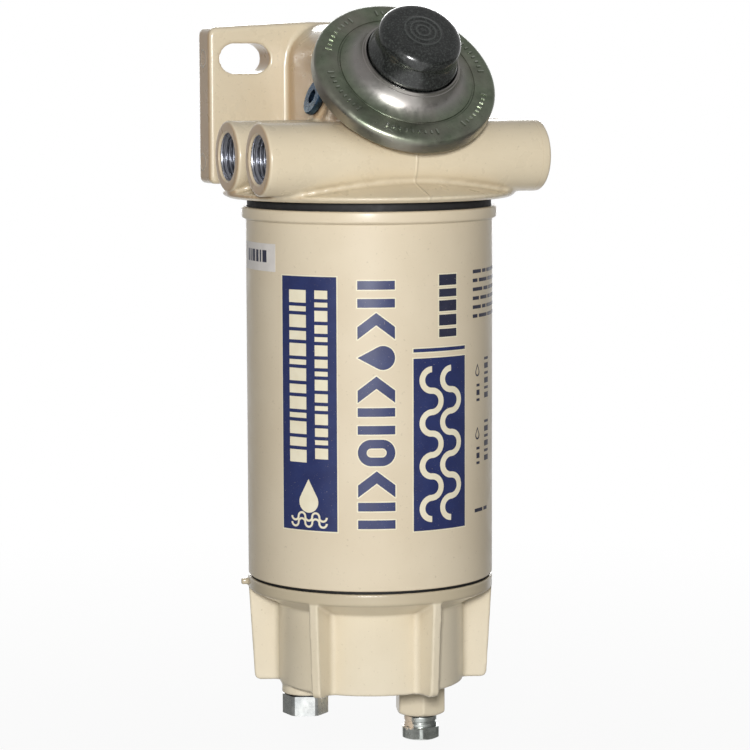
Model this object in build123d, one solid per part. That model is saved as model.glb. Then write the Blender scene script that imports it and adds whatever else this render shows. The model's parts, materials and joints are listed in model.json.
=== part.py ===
from build123d import *
import math
import os

os.makedirs("parts", exist_ok=True)

# All lengths are millimetres. The origin is on the back of the bracket plate, midway between its slots.
# +Z is up, +X is to the right and -Y points from the wall to the front.

# Main axes
wall_to_can = 68.0
port_drop = 41.9
inlet_forward = 35.0
outlet_back = 3.8

# Bracket plate, its slots and the bridge to the pump
plate_width = 110.0
plate_thickness = 15.0
plate_foot = 14.0
plate_shoulder = 55.7
plate_crown = 58.2
plate_crown_width = 16.0
plate_top_corner = 4.0
plate_foot_corner = 3.0
plate_edge_round = 1.8
slot_spacing = 76.0
slot_length = 24.0
slot_width = 13.5
bridge_width = 35.0
bridge_top = 57.0
bridge_foot = 8.0
bridge_corner = 17.0
bridge_root = 2.5
bridge_front_cut = 2.0

# Port tubes
tube_radius = 15.5
tube_length = 129.2
tube_end_round = 1.5
port_bore = 20.6
port_depth = 18.0
port_chamfer = 0.8
passage_bore = 13.0
web_length = 106.0
web_dip = 1.3
web_foot = 12.0
port_plug_length = 12.0
port_plug_recess = 1.0
port_plug_socket = 10.0
port_plug_socket_depth = 6.0

# Round flange under the tubes
flange_radius = 64.0
flange_drop = 15.8
flange_slope_inner = 16.3
flange_lip = 1.4
flange_lip_step = 2.5
flange_rim_band = 1.0
flange_round = 0.45
seal_drop = 18.4
seal_face_outer = 57.0
channel_inner = 22.0
channel_outer = 44.0
channel_ceiling = 14.5

# Threaded nipple
nipple_radius = 12.7
nipple_bore = 18.0
nipple_top_drop = 8.0
thread_gap = 0.05
seat_gap = 0.1
seal_gap = 0.3

# Inlet check valve
check_hole = 6.0
check_seat_drop = 8.0
check_chamber = 8.4
check_ball_radius = 3.5
check_cage_outer = 11.0
check_cage_length = 5.0
check_cage_floor = 0.8
check_window = 3.0
check_window_edge = 1.1
check_spring_radius = 2.4
check_spring_nest = 0.6
check_wire = 0.5
check_turns = 3

# Hand primer pump, in its own frame: heights run along its axis from the disc's middle
pump_forward = 38.8
pump_rise = 32.7
pump_tilt = 46.5
cover_radius = 40.0
cover_sheet = 1.2
cover_face = 5.4
cover_skirt = 7.4
cover_shoulder = 3.2
cover_groove_radius = 30.2
cover_groove_depth = 0.7
cover_groove_width = 1.2
cover_groove_slope = 0.3
cover_dome_foot = 28.6
cover_dome_rise = 8.8
cover_mouth = 19.9
cover_bow_in = 2.6
cover_bow_share = 0.62
cover_bow_normal = 40.0
cover_lip = 4.5
cover_clearance = 0.5
diaphragm_sheet = 1.4
diaphragm_free_radius = 26.0
diaphragm_flat_radius = 17.6
diaphragm_flat_height = 9.8
housing_radius = 26.0
housing_depth = 42.0
chamber_radius = 22.0
chamber_depth = 11.0
pump_port_bore = 5.0
pump_port_x = 8.0
pump_port_back = 10.0
knob_gap = 0.4
knob_foot = 11.0
knob_band = 4.6
knob_band_slope = 0.8
knob_lip = 0.5
knob_waist = 20.5
knob_waist_in = 1.9
knob_waist_round = 12.0
knob_crease = 23.2
knob_crease_in = 2.05
knob_crown = 24.0
knob_crown_in = 1.6
knob_crown_round = 4.8
knob_top = 29.75
knob_ring_count = 4
knob_ring_first = 0.55
knob_ring_pitch = 2.45
knob_ring_rise = 0.3
knob_ring_step = 0.1
knob_wall = 3.2
knob_roof = 5.0
knob_boss = 5.0
stud_radius = 2.5
stud_length = 11.0
diaphragm_plate_radius = 15.0
diaphragm_plate_thickness = 1.5
pump_spring_radius = 11.0
pump_wire = 1.6
pump_turns = 4.5

# Vent plug on a boss on the left of the bridge, tilted up from the level
vent_out = 21.8
vent_back = 4.5
vent_rise = 24.6
vent_tilt = 20.0
vent_head_radius = 8.0
vent_head = 2.2
vent_head_chamfer = 0.5
vent_shank = 12.0
vent_shank_length = 6.6
vent_depth = 11.0
vent_seal_thickness = 1.0
vent_seal_radius = 7.4
vent_seat_radius = 9.5
vent_seat_reach = 8.0
vent_boss_depth = 10.0
vent_socket = 6.0
vent_socket_depth = 5.0
vent_bleed = 3.0

# Spin-on canister
can_radius = 54.0
can_length = 162.3
can_sheet = 0.8
gasket_show = 3.6
gasket_sink = 1.8
gasket_inner = 46.0
bead_radius = 55.8
bead_height = 4.8
bead_round = 1.4
bead_foot_round = 1.0
bead_wall = 2.0
bead_blend = 0.8
can_foot_round = 0.7
can_lip = 50.0

# Filter element inside the canister
top_plate_thickness = 3.0
top_plate_hole = 9.0
top_plate_hole_circle = 32.0
top_plate_holes = 8
collar_wall = 4.3
thread_engagement = 12.7
grommet_outer = 19.0
grommet_height = 4.0
cap_radius = 48.5
cap_sheet = 1.5
media_outer = 47.0
media_inner = 20.0
media_pleats = 40
media_sheet = 0.6
centre_tube_radius = 17.5
centre_tube_sheet = 0.8
centre_tube_hole = 5.0
centre_tube_rows = 6
centre_tube_columns = 3
ring_plate = 3.0
ring_collar = 11.0
ring_collar_wall = 3.0
element_wire = 1.8
element_spring_height = 11.0
element_turns = 1.75

# Water bowl
bowl_gap = 1.0
bowl_groove = 1.0
bowl_seal_inner = 46.3
bowl_seal_outer = 52.4
neck_radius = 44.0
neck_height = 10.0
bowl_rim_height = 5.2
bowl_cone_drop = 6.4
bowl_body_radius = 41.0
bowl_height = 47.3
bowl_wall = 4.0
bowl_floor = 5.0
rib_count = 6
rib_start = 10.6
rib_width = 4.2
rib_foot_radius = 51.5
rib_root = 2.5
rib_corner = 2.8
lug_angle = -111.5
lug_reach = 3.3
lug_width = 5.0
lug_height = 2.6
lug_drop = 2.0
lug_root = 4.0
rim_round = 0.5

# Probe plug and drain valve under the bowl
probe_x = -30.1
probe_back = 2.9
probe_boss_radius = 10.3
probe_boss_height = 4.5
probe_flats = 18.2
probe_head = 8.6
probe_chamfer = 0.35
probe_shank = 13.0
probe_shank_length = 9.0
probe_washer = 0.6
probe_turn = 37.5
drain_x = 26.2
drain_back = 5.1
drain_boss_flats = 20.6
drain_boss_height = 19.4
drain_boss_chamfer = 1.4
drain_boss_turn = 15.0
drain_shank = 12.0
drain_shank_length = 14.0
drain_seal_thickness = 0.8
drain_seal_inset = 0.2
drain_collar_radius = 7.3
drain_collar_height = 4.8
drain_groove_drop = 2.3
drain_groove_width = 0.8
drain_groove_depth = 0.7
drain_flats = 16.2
drain_head = 5.6
drain_turn = 17.4
drain_bore = 4.4
drain_bore_end = 3.0
drain_passage = 6.0
hex_chamfer = 0.9

# Print and sticker on the canister
# Angles are turned from the front towards +X, and drops run down from the rim
print_film = 0.1
print_lift = 0.02
keyline = 0.55
left_panel = (-65.3, -37.0)
left_panel_drop = (27.7, 136.5)
left_columns = [(-61.0, -51.9), (-47.5, -41.2)]
left_column_drop = (33.5, 109.0)
left_dashes = [(5.4, 2.2, 5.4, 3.8), (3.6, 2.0, 4.6)]
left_dash_gap = 1.5
left_icon = (-51.0, 121.6)
left_icon_size = 14.5
left_icon_wave_drops = (130.6, 133.2)
left_icon_wave_radius = 1.7
left_icon_wave_stroke = 0.9
left_icon_wave_bends = 5
centre_marks = (-27.5, -10.6)
centre_marks_drop = (28.1, 136.1)
centre_mark_count = 8
centre_mark_stroke = 3.7
centre_mark_gap = 2.2
drop_roundness = 0.32
right_panel = (-2.0, 26.8)
right_panel_drop = (62.6, 136.6)
right_wave_radius = 4.6
right_wave_stroke = 2.6
right_wave_bends = 7
right_wave_shift = 5.0
bar_drop = (58.4, 59.9)
short_mark = (11.1, 21.1)
short_mark_drop = (27.3, 55.3)
short_dashes = (4.6, 3.4, 4.6)
short_dash_gap = 1.5
fine_print = (33.3, 76.0)
fine_line_drop = 26.4
fine_line_pitch = 3.85
fine_line_height = 1.5
fine_lines = 6
fine_words = (7.5, 4.0, 9.0, 5.5)
fine_word_gap = 1.6
fine_foot_line_drop = 130.4
fine_foot_words = (35.0, 52.0)
fine_drop_marks = (70.0, 97.5)
fine_drop_angle = 37.4
fine_drop_size = 5.4
fine_drop_stroke = 0.7
fine_tick_columns = [(36.6, 39.4), (45.0, 50.0)]
fine_tick_drops = [(76.0, 84.0), (65.0, 84.0)]
fine_tick_gap = 1.5
fine_ticks = (1.1, 2.3)
sticker = (-103.8, -70.0)
sticker_drop = (14.7, 26.6)
sticker_mark = (-97.0, -74.5)
sticker_mark_drop = (17.6, 22.8)
sticker_bars = (2.2, 1.1, 3.1)
sticker_bar_gap = 1.3

# Places worked out from the values above
can_y = -wall_to_can
inlet_y = can_y - inlet_forward
outlet_y = can_y + outlet_back
port_z = -port_drop
plate_front_y = -plate_thickness
seal_z = port_z - seal_drop
rim_z = seal_z - gasket_show
top_plate_z = rim_z - gasket_sink
can_foot_z = rim_z - can_length
collar_foot_z = top_plate_z - thread_engagement
grommet_foot_z = collar_foot_z - grommet_height
media_top_z = grommet_foot_z - cap_sheet
ring_foot_z = can_foot_z + can_sheet
ring_top_z = ring_foot_z + ring_collar
lower_cap_z = ring_top_z + element_spring_height
media_foot_z = lower_cap_z + cap_sheet
media_length = media_top_z - media_foot_z
bowl_top_z = can_foot_z - bowl_gap
cone_top_z = bowl_top_z - bowl_rim_height
cone_foot_z = cone_top_z - bowl_cone_drop
bowl_foot_z = bowl_top_z - bowl_height
cavity_foot_z = bowl_foot_z + bowl_floor
probe_y = can_y + probe_back
drain_y = can_y + drain_back
pump_y = can_y - pump_forward
pump_z = port_z + pump_rise
vent_y = can_y + vent_back
vent_z = port_z + vent_rise
port_face_x = tube_length / 2
cover_inside = cover_face - cover_sheet
housing_top = cover_inside - diaphragm_sheet
cover_low = cover_face - cover_skirt
housing_foot = cover_low + cover_sheet
clamp_radius = cover_radius - cover_shoulder - seat_gap
knob_radius = cover_mouth - knob_gap
diaphragm_plate_top = diaphragm_flat_height - diaphragm_sheet
pump_port_y = inlet_y + pump_port_back
chamber_foot = -chamber_depth
in_pump = Pos(0, pump_y, pump_z) * Rot(pump_tilt, 0, 0)
in_vent = Pos(-vent_out, vent_y, vent_z) * Rot(0, vent_tilt - 90, 0)


def rod(radius, foot, top, x=0.0, y=0.0):
    return Pos(x, y, (foot + top) / 2) * Cylinder(radius, top - foot)


def ring(outer, inner, foot, top, x=0.0, y=0.0):
    return rod(outer, foot, top, x, y) - rod(inner, foot - 1, top + 1, x, y)


def bar(radius, left, right, y, z):
    return Pos((left + right) / 2, y, z) * Rot(0, 90, 0) * Cylinder(radius, right - left)


def block(x, y, z):
    size = [high - low for low, high in (x, y, z)]
    return Pos(sum(x) / 2, sum(y) / 2, sum(z) / 2) * Box(*size)


def turned(corners, rounds=()):
    # A solid of revolution about Z from its half outline, with chosen corners rounded
    outline = make_face(Polyline(*corners, close=True))
    for corner, radius in rounds:
        near = outline.vertices().sort_by_distance(corners[corner])[0]
        outline = fillet(near, radius)
    return revolve(Plane.XZ * outline, Axis.Z)


def hexagon(flats, foot, top, turn=0.0, chamfer_foot=0.0, chamfer_top=0.0):
    # An upright hexagonal bar with a corner at the turn angle, whose ends may be turned to a chamfer
    outline = RegularPolygon(flats / 2, 6, major_radius=False, rotation=turn)
    solid = Pos(0, 0, foot) * extrude(outline, top - foot)
    reach = flats / math.sqrt(3) + 0.1
    low = reach - chamfer_foot * math.sqrt(3)
    high = reach - chamfer_top * math.sqrt(3)
    corners = [(0, foot), (low, foot), (reach, foot + chamfer_foot)]
    corners += [(reach, top - chamfer_top), (high, top), (0, top)]
    if chamfer_foot == 0:
        corners.remove((low, foot))
    if chamfer_top == 0:
        corners.remove((high, top))
    return solid & turned(corners)


def coil(radius, wire, foot, top, turns):
    height = top - foot - wire
    path = Helix(height / turns, height, radius)
    section = Plane(path @ 0, z_dir=path % 0) * Circle(wire / 2)
    return Pos(0, 0, foot + wire / 2) * sweep(section, path)


def bracket_plate():
    side = plate_width / 2
    foot = port_z - plate_foot
    shoulder = port_z + plate_shoulder
    crown = port_z + plate_crown
    crown_x = plate_crown_width / 2
    corners = [(-side, foot), (side, foot), (side, shoulder)]
    corners += [(crown_x, crown), (-crown_x, crown), (-side, shoulder)]
    outline = make_face(Polyline(*corners, close=True))
    outline = fillet(outline.vertices().group_by(Axis.Y)[0], plate_foot_corner)
    outline = fillet(outline.vertices().group_by(Axis.X)[-1].sort_by(Axis.Y)[-1], plate_top_corner)
    outline = fillet(outline.vertices().group_by(Axis.X)[0].sort_by(Axis.Y)[-1], plate_top_corner)
    plate = extrude(Plane.XZ * outline, plate_thickness)
    front = plate.faces().sort_by(Axis.Y)[0]
    return fillet(front.edges(), plate_edge_round)


def bracket_slots():
    slot = SlotOverall(slot_length, slot_width)
    half = slot_spacing / 2
    cut = Plane.XZ * (Pos(-half, 0) * slot + Pos(half, 0) * slot)
    return extrude(cut, plate_thickness + 1) + extrude(cut, -1)


def bridge_root_fillet(side):
    # Concave fillet prism where the bridge leaves the plate
    x = side * bridge_width / 2
    y = plate_front_y
    reach = bridge_root
    fill = block(sorted((x - side, x + side * reach)), (y - reach, y + 1),
                 (port_z - bridge_foot, port_z + bridge_top - bridge_corner))
    hollow = rod(reach, port_z - bridge_foot - 1, port_z + bridge_top, x + side * reach, y - reach)
    return fill - hollow


def bridge():
    # The thick web between plate and pump, cut off under the pump's flange
    half = bridge_width / 2
    foot = port_z - bridge_foot
    top = port_z + bridge_top
    outline = make_face(Polyline((-half, foot), (half, foot), (half, top), (-half, top), close=True))
    outline = fillet(outline.vertices().group_by(Axis.Y)[-1], bridge_corner)
    front_y = inlet_y + tube_radius - bridge_front_cut
    web = Pos(0, plate_front_y + 1, 0) * extrude(Plane.XZ * outline, plate_front_y + 1 - front_y)
    below = cover_low - cover_clearance
    under_cover = in_pump * rod(wall_to_can + plate_width, below - wall_to_can - plate_width, below)
    return web & under_cover


def port_tube(y):
    tube = bar(tube_radius, -port_face_x, port_face_x, y, port_z)
    return fillet(tube.edges().filter_by(GeomType.CIRCLE), tube_end_round)


def port_cut(y):
    # Threaded holes from both ends and the passage between them
    mouth = port_bore / 2
    cut = bar(passage_bore / 2, -port_face_x, port_face_x, y, port_z)
    for end in (-1, 1):
        face = end * port_face_x
        inner = end * (port_face_x - port_depth)
        cut += bar(mouth, *sorted((face, inner)), y, port_z)
        flare = Cone(mouth, mouth + port_chamfer, port_chamfer)
        place = Pos(face - end * port_chamfer / 2, y, port_z) * Rot(0, 90 * end, 0)
        cut += place * flare
    return cut


def flange():
    rim = port_z - flange_drop
    band_foot = rim - flange_rim_band
    lip = flange_radius - flange_lip_step
    corners = [
        (0, port_z), (flange_slope_inner, port_z), (flange_radius, rim), (flange_radius, band_foot),
        (lip, band_foot - flange_lip), (seal_face_outer, seal_z), (0, seal_z),
    ]
    rounds = [(2, flange_round), (3, flange_round)]
    return Pos(0, can_y, 0) * turned(corners, rounds)


def pump_housing():
    neck = rod(housing_radius, -housing_depth, housing_top)
    clamp = rod(clamp_radius, housing_foot, housing_top)
    return in_pump * (neck + clamp)


def pump_chamber():
    # The feed rises from the channel until it meets the chamber's tilted floor
    chamber = in_pump * rod(chamber_radius, chamber_foot, housing_top + 1)
    tilt = math.radians(pump_tilt)
    floor_y = pump_y - chamber_foot * math.sin(tilt)
    floor_z = pump_z + chamber_foot * math.cos(tilt)
    meet_z = floor_z + (pump_port_y - floor_y) * math.tan(tilt)
    foot_z = port_z - channel_ceiling - 1
    feed = rod(pump_port_bore / 2, foot_z, meet_z + pump_port_bore, pump_port_x, pump_port_y)
    return chamber + feed


def vent_boss():
    return in_vent * rod(vent_seat_radius, -vent_boss_depth, 0)


def vent_cut():
    # The room over the seat, the plug's hole and the passage down to the rear port's bore
    seat = rod(vent_seat_radius, 0, vent_seat_reach)
    hole = rod(vent_shank / 2 + thread_gap, -vent_depth, 1)
    tilt = math.radians(vent_tilt)
    inward = vent_depth - vent_bleed
    feed_x = inward * math.cos(tilt) - vent_out
    feed_top = vent_z - inward * math.sin(tilt)
    return in_vent * (seat + hole) + rod(vent_bleed / 2, port_z, feed_top, feed_x, vent_y)


def underside_cut():
    channel = ring(channel_outer, channel_inner, seal_z - 1, port_z - channel_ceiling, 0, can_y)
    thread = rod(nipple_radius + thread_gap, seal_z - 1, port_z - nipple_top_drop, 0, can_y)
    feed = rod(nipple_bore / 2, port_z - nipple_top_drop - 1, port_z, 0, can_y)
    seat = rod(check_hole / 2, port_z - check_seat_drop - 1, port_z, 0, inlet_y)
    chamber = rod(check_chamber / 2, port_z - channel_ceiling - 1, port_z - check_seat_drop, 0, inlet_y)
    return channel + thread + feed + seat + chamber


def head_casting():
    web_top = port_z + tube_radius - web_dip
    web_half = web_length / 2
    web = block((-web_half, web_half), (inlet_y, outlet_y), (port_z - web_foot, web_top))
    body = flange() + port_tube(inlet_y) + port_tube(outlet_y) + web
    body += bracket_plate() + bridge() + bridge_root_fillet(-1) + bridge_root_fillet(1) + pump_housing()
    body += vent_boss()
    body -= bracket_slots()
    body -= port_cut(inlet_y)
    body -= port_cut(outlet_y)
    body -= pump_chamber()
    body -= vent_cut()
    body -= underside_cut()
    return body


def threaded_nipple():
    return ring(nipple_radius, nipple_bore / 2, collar_foot_z, port_z - nipple_top_drop, 0, can_y)


def port_plugs():
    plugs = []
    right = port_face_x - port_plug_recess
    for y in (inlet_y, outlet_y):
        plug = bar(port_bore / 2 - thread_gap, right - port_plug_length, right, y, port_z)
        socket = Rot(0, 90, 0) * hexagon(port_plug_socket, -port_plug_socket_depth, 1)
        plugs.append(plug - Pos(right, y, port_z) * socket)
    return Compound(plugs)


def check_ball_z():
    # The ball rests on the rim of the hole above it
    rise = math.sqrt(check_ball_radius ** 2 - (check_hole / 2) ** 2)
    return port_z - check_seat_drop - rise


def check_ball():
    return Pos(0, inlet_y, check_ball_z() - thread_gap) * Sphere(check_ball_radius)


def check_cage():
    # A cup pressed against the channel's ceiling, open at four windows
    top = port_z - channel_ceiling
    foot = top - check_cage_length
    inner = check_chamber / 2
    cup = rod(check_cage_outer / 2, foot, top) - rod(inner, foot + check_cage_floor, top + 1)
    middle = (foot + top) / 2
    height = check_cage_length - 2 * check_window_edge
    for turn in (45, 135):
        cup -= Rot(0, 0, turn) * (Pos(0, 0, middle) * Box(2 * check_cage_outer, check_window, height))
    return Pos(0, inlet_y, 0) * cup


def check_spring():
    foot = port_z - channel_ceiling - check_cage_length + check_cage_floor
    top = check_ball_z() - check_ball_radius + check_spring_nest
    return Pos(0, inlet_y, 0) * coil(check_spring_radius, check_wire, foot, top, check_turns)


def pump_cover():
    # Pressed sheet: rolled lip, skirt, flat ring, groove and dome with an open mouth
    t = cover_sheet
    face = cover_face
    inside = cover_inside
    skirt_inside = cover_radius - t
    bend = cover_radius - cover_shoulder
    bend_z = face - cover_shoulder
    groove_foot = cover_groove_radius - cover_groove_slope
    groove_in = cover_groove_radius - cover_groove_width
    dip = face - cover_groove_depth
    normal = math.radians(cover_bow_normal)
    diagonal = math.sqrt(0.5)
    bow = (cover_dome_foot - cover_bow_in, face + cover_bow_share * cover_dome_rise)
    bow_inside = (bow[0] - t * math.cos(normal), bow[1] - t * math.sin(normal))
    mouth = (cover_mouth, face + cover_dome_rise)
    mouth_inside = (cover_mouth, mouth[1] - t)
    foot_inside = (cover_dome_foot - t, inside)
    elbow = (bend + cover_shoulder * diagonal, bend_z + cover_shoulder * diagonal)
    elbow_inside = (bend + (cover_shoulder - t) * diagonal, bend_z + (cover_shoulder - t) * diagonal)
    lip = cover_radius - cover_lip
    edges = Polyline((lip, cover_low + t), (lip, cover_low), (cover_radius, cover_low),
                     (cover_radius, bend_z))
    edges += ThreePointArc((cover_radius, bend_z), elbow, (bend, face))
    edges += Polyline((bend, face), (cover_groove_radius, face), (groove_foot, dip), (groove_in, dip),
                      (cover_dome_foot, face))
    edges += ThreePointArc((cover_dome_foot, face), bow, mouth)
    edges += Line(mouth, mouth_inside)
    edges += ThreePointArc(mouth_inside, bow_inside, foot_inside)
    edges += Line(foot_inside, (bend, inside))
    edges += ThreePointArc((bend, inside), elbow_inside, (skirt_inside, bend_z))
    edges += Polyline((skirt_inside, bend_z), (skirt_inside, cover_low + t), (lip, cover_low + t))
    return in_pump * revolve(Plane.XZ * make_face(edges), Axis.Z)


def pump_diaphragm():
    # Clamped flat rim, sloping wall and flat middle with a hole for the stud
    top = cover_inside
    t = diaphragm_sheet
    peak = diaphragm_flat_height
    free = diaphragm_free_radius
    hole = stud_radius + seat_gap
    flat = diaphragm_flat_radius
    corners = [
        (hole, peak - t), (flat - t, peak - t), (free - t, top - t), (clamp_radius, top - t),
        (clamp_radius, top), (free, top), (flat, peak), (hole, peak),
    ]
    return in_pump * turned(corners)


def diaphragm_plate():
    top = diaphragm_plate_top
    plate = rod(diaphragm_plate_radius, top - diaphragm_plate_thickness, top)
    stud = rod(stud_radius, top - 1, top + stud_length)
    return in_pump * (plate + stud)


def primer_knob():
    # Moulded cap: band round the foot, waist, crease under the round crown and rippled rings on top
    r = knob_radius
    band_top = knob_foot + knob_band
    crown = r - knob_crown_in
    corners = [
        (0, knob_foot), (r, knob_foot), (r, band_top), (r - knob_lip, band_top + knob_band_slope),
        (r - knob_waist_in, knob_waist), (r - knob_crease_in, knob_crease), (crown, knob_crown), (crown, knob_top),
    ]
    height = knob_top
    for number in reversed(range(knob_ring_count)):
        ridge = knob_ring_first + number * knob_ring_pitch
        corners += [(ridge + knob_ring_pitch / 2, height), (ridge, height + knob_ring_rise)]
        height += knob_ring_step
    corners.append((0, corners[-1][1]))
    body = turned(corners, [(4, knob_waist_round), (7, knob_crown_round)])
    inner = r - knob_wall
    hollow = ring(inner, knob_boss, knob_foot - 1, knob_top - knob_roof)
    below_boss = rod(inner, knob_foot - 1, knob_foot)
    boss = rod(knob_boss, diaphragm_flat_height, knob_foot + 1)
    bore_top = diaphragm_plate_top + stud_length + seat_gap
    bore = rod(stud_radius + seat_gap, diaphragm_flat_height - 1, bore_top)
    return in_pump * (body - hollow - below_boss + boss - bore)


def pump_return_spring():
    top = diaphragm_plate_top - diaphragm_plate_thickness
    return in_pump * coil(pump_spring_radius, pump_wire, chamber_foot, top, pump_turns)


def vent_seal():
    return in_vent * ring(vent_seal_radius, vent_shank / 2 + seal_gap, 0, vent_seal_thickness)


def vent_plug():
    # Drawn with its thread down and its head's foot on the seal
    foot = vent_seal_thickness
    top = foot + vent_head
    rim = vent_head_radius
    edge = vent_head_chamfer
    head = turned([(0, foot), (rim, foot), (rim, top - edge), (rim - edge, top), (0, top)])
    shank = rod(vent_shank / 2, foot - vent_shank_length, foot + vent_head / 2)
    socket = hexagon(vent_socket, top - vent_socket_depth, top + 1)
    return in_vent * (head + shank - socket)


def head_gasket():
    outer = bead_radius - bead_wall - seal_gap
    return ring(outer, gasket_inner, top_plate_z, seal_z, 0, can_y)


def can_shell():
    r = can_radius
    t = can_sheet
    bead_foot = rim_z - bead_height
    seat = bead_radius - bead_wall
    corners = [
        (bead_radius, rim_z), (bead_radius, bead_foot), (r, bead_foot - bead_blend), (r, can_foot_z),
        (can_lip, can_foot_z), (can_lip, can_foot_z + t), (r - t, can_foot_z + t), (r - t, top_plate_z),
        (seat, top_plate_z), (seat, rim_z),
    ]
    rounds = [(0, bead_round), (1, bead_foot_round), (3, can_foot_round)]
    return Pos(0, can_y, 0) * turned(corners, rounds)


def element_top_plate():
    foot = top_plate_z - top_plate_thickness
    plate = rod(can_radius - can_sheet - seat_gap, foot, top_plate_z)
    plate += rod(nipple_radius + collar_wall, collar_foot_z, foot + 1)
    plate -= rod(nipple_radius + thread_gap, collar_foot_z - 1, top_plate_z + 1)
    for place in PolarLocations(top_plate_hole_circle, top_plate_holes):
        plate -= place * rod(top_plate_hole / 2, foot - 1, top_plate_z + 1)
    return Pos(0, can_y, 0) * plate


def element_grommet():
    return ring(grommet_outer, nipple_radius + thread_gap, grommet_foot_z, collar_foot_z, 0, can_y)


def upper_end_cap():
    return ring(cap_radius, nipple_radius + thread_gap, media_top_z, grommet_foot_z, 0, can_y)


def lower_end_cap():
    return rod(cap_radius, lower_cap_z, media_foot_z, 0, can_y)


def pleat_edge(low, high, low_shift, high_shift):
    # One side of the folded sheet: out along one fold, across, and back along the next
    points = []
    step = 180.0 / media_pleats
    half_angle = math.degrees(media_sheet / 2 / low)
    tip_angle = math.degrees(media_sheet / 2 / high)
    for pleat in range(media_pleats):
        first = 2 * pleat * step
        second = first + step
        corners = [
            (low, first + low_shift * half_angle), (high, first + high_shift * tip_angle),
            (high, second - high_shift * tip_angle), (low, second - low_shift * half_angle),
        ]
        points += [(r * math.cos(math.radians(a)), r * math.sin(math.radians(a))) for r, a in corners]
    return make_face(Polyline(*points, close=True))


def pleated_media():
    outside = pleat_edge(media_inner + media_sheet, media_outer, -1, -1)
    inside = pleat_edge(media_inner, media_outer - media_sheet, 1, 1)
    return Pos(0, can_y, media_foot_z) * extrude(outside - inside, media_length)


def centre_tube():
    radius = centre_tube_radius
    tube = ring(radius, radius - centre_tube_sheet, media_foot_z, media_top_z)
    pitch = media_length / (centre_tube_rows + 1)
    for row in range(centre_tube_rows):
        height = media_foot_z + pitch * (row + 1)
        for column in range(centre_tube_columns):
            turn = (column + row % 2 / 2) * 180 / centre_tube_columns
            across = bar(centre_tube_hole / 2, -radius - 1, radius + 1, 0, height)
            tube -= Rot(0, 0, turn) * across
    return Pos(0, can_y, 0) * tube


def element_spring():
    radius = neck_radius + ring_collar_wall / 2
    return Pos(0, can_y, 0) * coil(radius, element_wire, ring_top_z, lower_cap_z, element_turns)


def bowl_thread_ring():
    inner = neck_radius + thread_gap
    plate = ring(can_radius - can_sheet - seat_gap, inner, ring_foot_z, ring_foot_z + ring_plate)
    collar = ring(neck_radius + ring_collar_wall, inner, ring_foot_z, ring_top_z)
    return Pos(0, can_y, 0) * (plate + collar)


def bowl_seal():
    foot = bowl_top_z - bowl_groove
    return ring(bowl_seal_outer, bowl_seal_inner, foot, can_foot_z, 0, can_y)


def rib_star():
    # Ribs and wall drawn together in plan, so that the rib roots can be rounded
    star = Circle(bowl_body_radius)
    for number in range(rib_count):
        turn = rib_start - 90 + number * 360 / rib_count
        star += Rot(0, 0, turn) * Pos(can_radius / 2 + 1, 0) * Rectangle(can_radius + 2, rib_width)
    limit = bowl_body_radius + 2
    roots = [v for v in star.vertices() if math.hypot(v.X, v.Y) < limit]
    return fillet(roots, rib_root)


def bowl_casting():
    foot = bowl_foot_z
    drain_foot = foot - drain_boss_height
    probe_foot = foot - probe_boss_height
    ribs = Pos(0, 0, foot) * extrude(rib_star(), cone_top_z - foot)
    corners = [(0, foot), (rib_foot_radius, foot), (can_radius, cone_top_z), (0, cone_top_z)]
    ribs = ribs & turned(corners, [(1, rib_corner)])
    rim = turned([
        (0, cone_foot_z), (bowl_body_radius, cone_foot_z), (can_radius, cone_top_z),
        (can_radius, bowl_top_z), (0, bowl_top_z),
    ], [(2, rim_round), (3, rim_round)])
    lug_top = bowl_top_z - lug_drop
    lug = Rot(0, 0, lug_angle - 90) * block(
        (can_radius - lug_root, can_radius + lug_reach), (-lug_width / 2, lug_width / 2),
        (lug_top - lug_height, lug_top))
    neck = rod(neck_radius, bowl_top_z, bowl_top_z + neck_height)
    body = Pos(0, can_y, 0) * (ribs + rim + lug + neck)
    body += rod(probe_boss_radius, probe_foot, foot + 1, probe_x, probe_y)
    body += Pos(drain_x, drain_y, 0) * hexagon(
        drain_boss_flats, drain_foot, foot + 1, drain_boss_turn, chamfer_foot=drain_boss_chamfer)
    cavity = rod(bowl_body_radius - bowl_wall, cavity_foot_z, bowl_top_z + neck_height + 1, 0, can_y)
    groove = ring(bowl_seal_outer + seal_gap, bowl_seal_inner - seal_gap, bowl_top_z - bowl_groove,
                  bowl_top_z + 1, 0, can_y)
    probe_hole = rod(probe_shank / 2 + thread_gap, probe_foot - 1, cavity_foot_z + 1, probe_x, probe_y)
    drain_end = drain_foot + drain_shank_length + 1
    drain_hole = rod(drain_shank / 2 + thread_gap, drain_foot - 1, drain_end, drain_x, drain_y)
    drain_feed = rod(drain_passage / 2, drain_foot, cavity_foot_z + 1, drain_x, drain_y)
    return body - cavity - groove - probe_hole - drain_hole - drain_feed


def probe_plug_washer():
    top = bowl_foot_z - probe_boss_height
    return ring(probe_flats / 2, probe_shank / 2 + seat_gap, top - probe_washer, top, probe_x, probe_y)


def probe_plug():
    top = bowl_foot_z - probe_boss_height - probe_washer
    head = hexagon(probe_flats, top - probe_head, top, probe_turn, chamfer_foot=probe_chamfer)
    shank = rod(probe_shank / 2, top - 1, top + probe_shank_length)
    return Pos(probe_x, probe_y, 0) * (head + shank)


def drain_seal():
    top = bowl_foot_z - drain_boss_height
    inner = drain_shank / 2 + seal_gap
    outer = drain_collar_radius - drain_seal_inset
    return ring(outer, inner, top - drain_seal_thickness, top, drain_x, drain_y)


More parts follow.
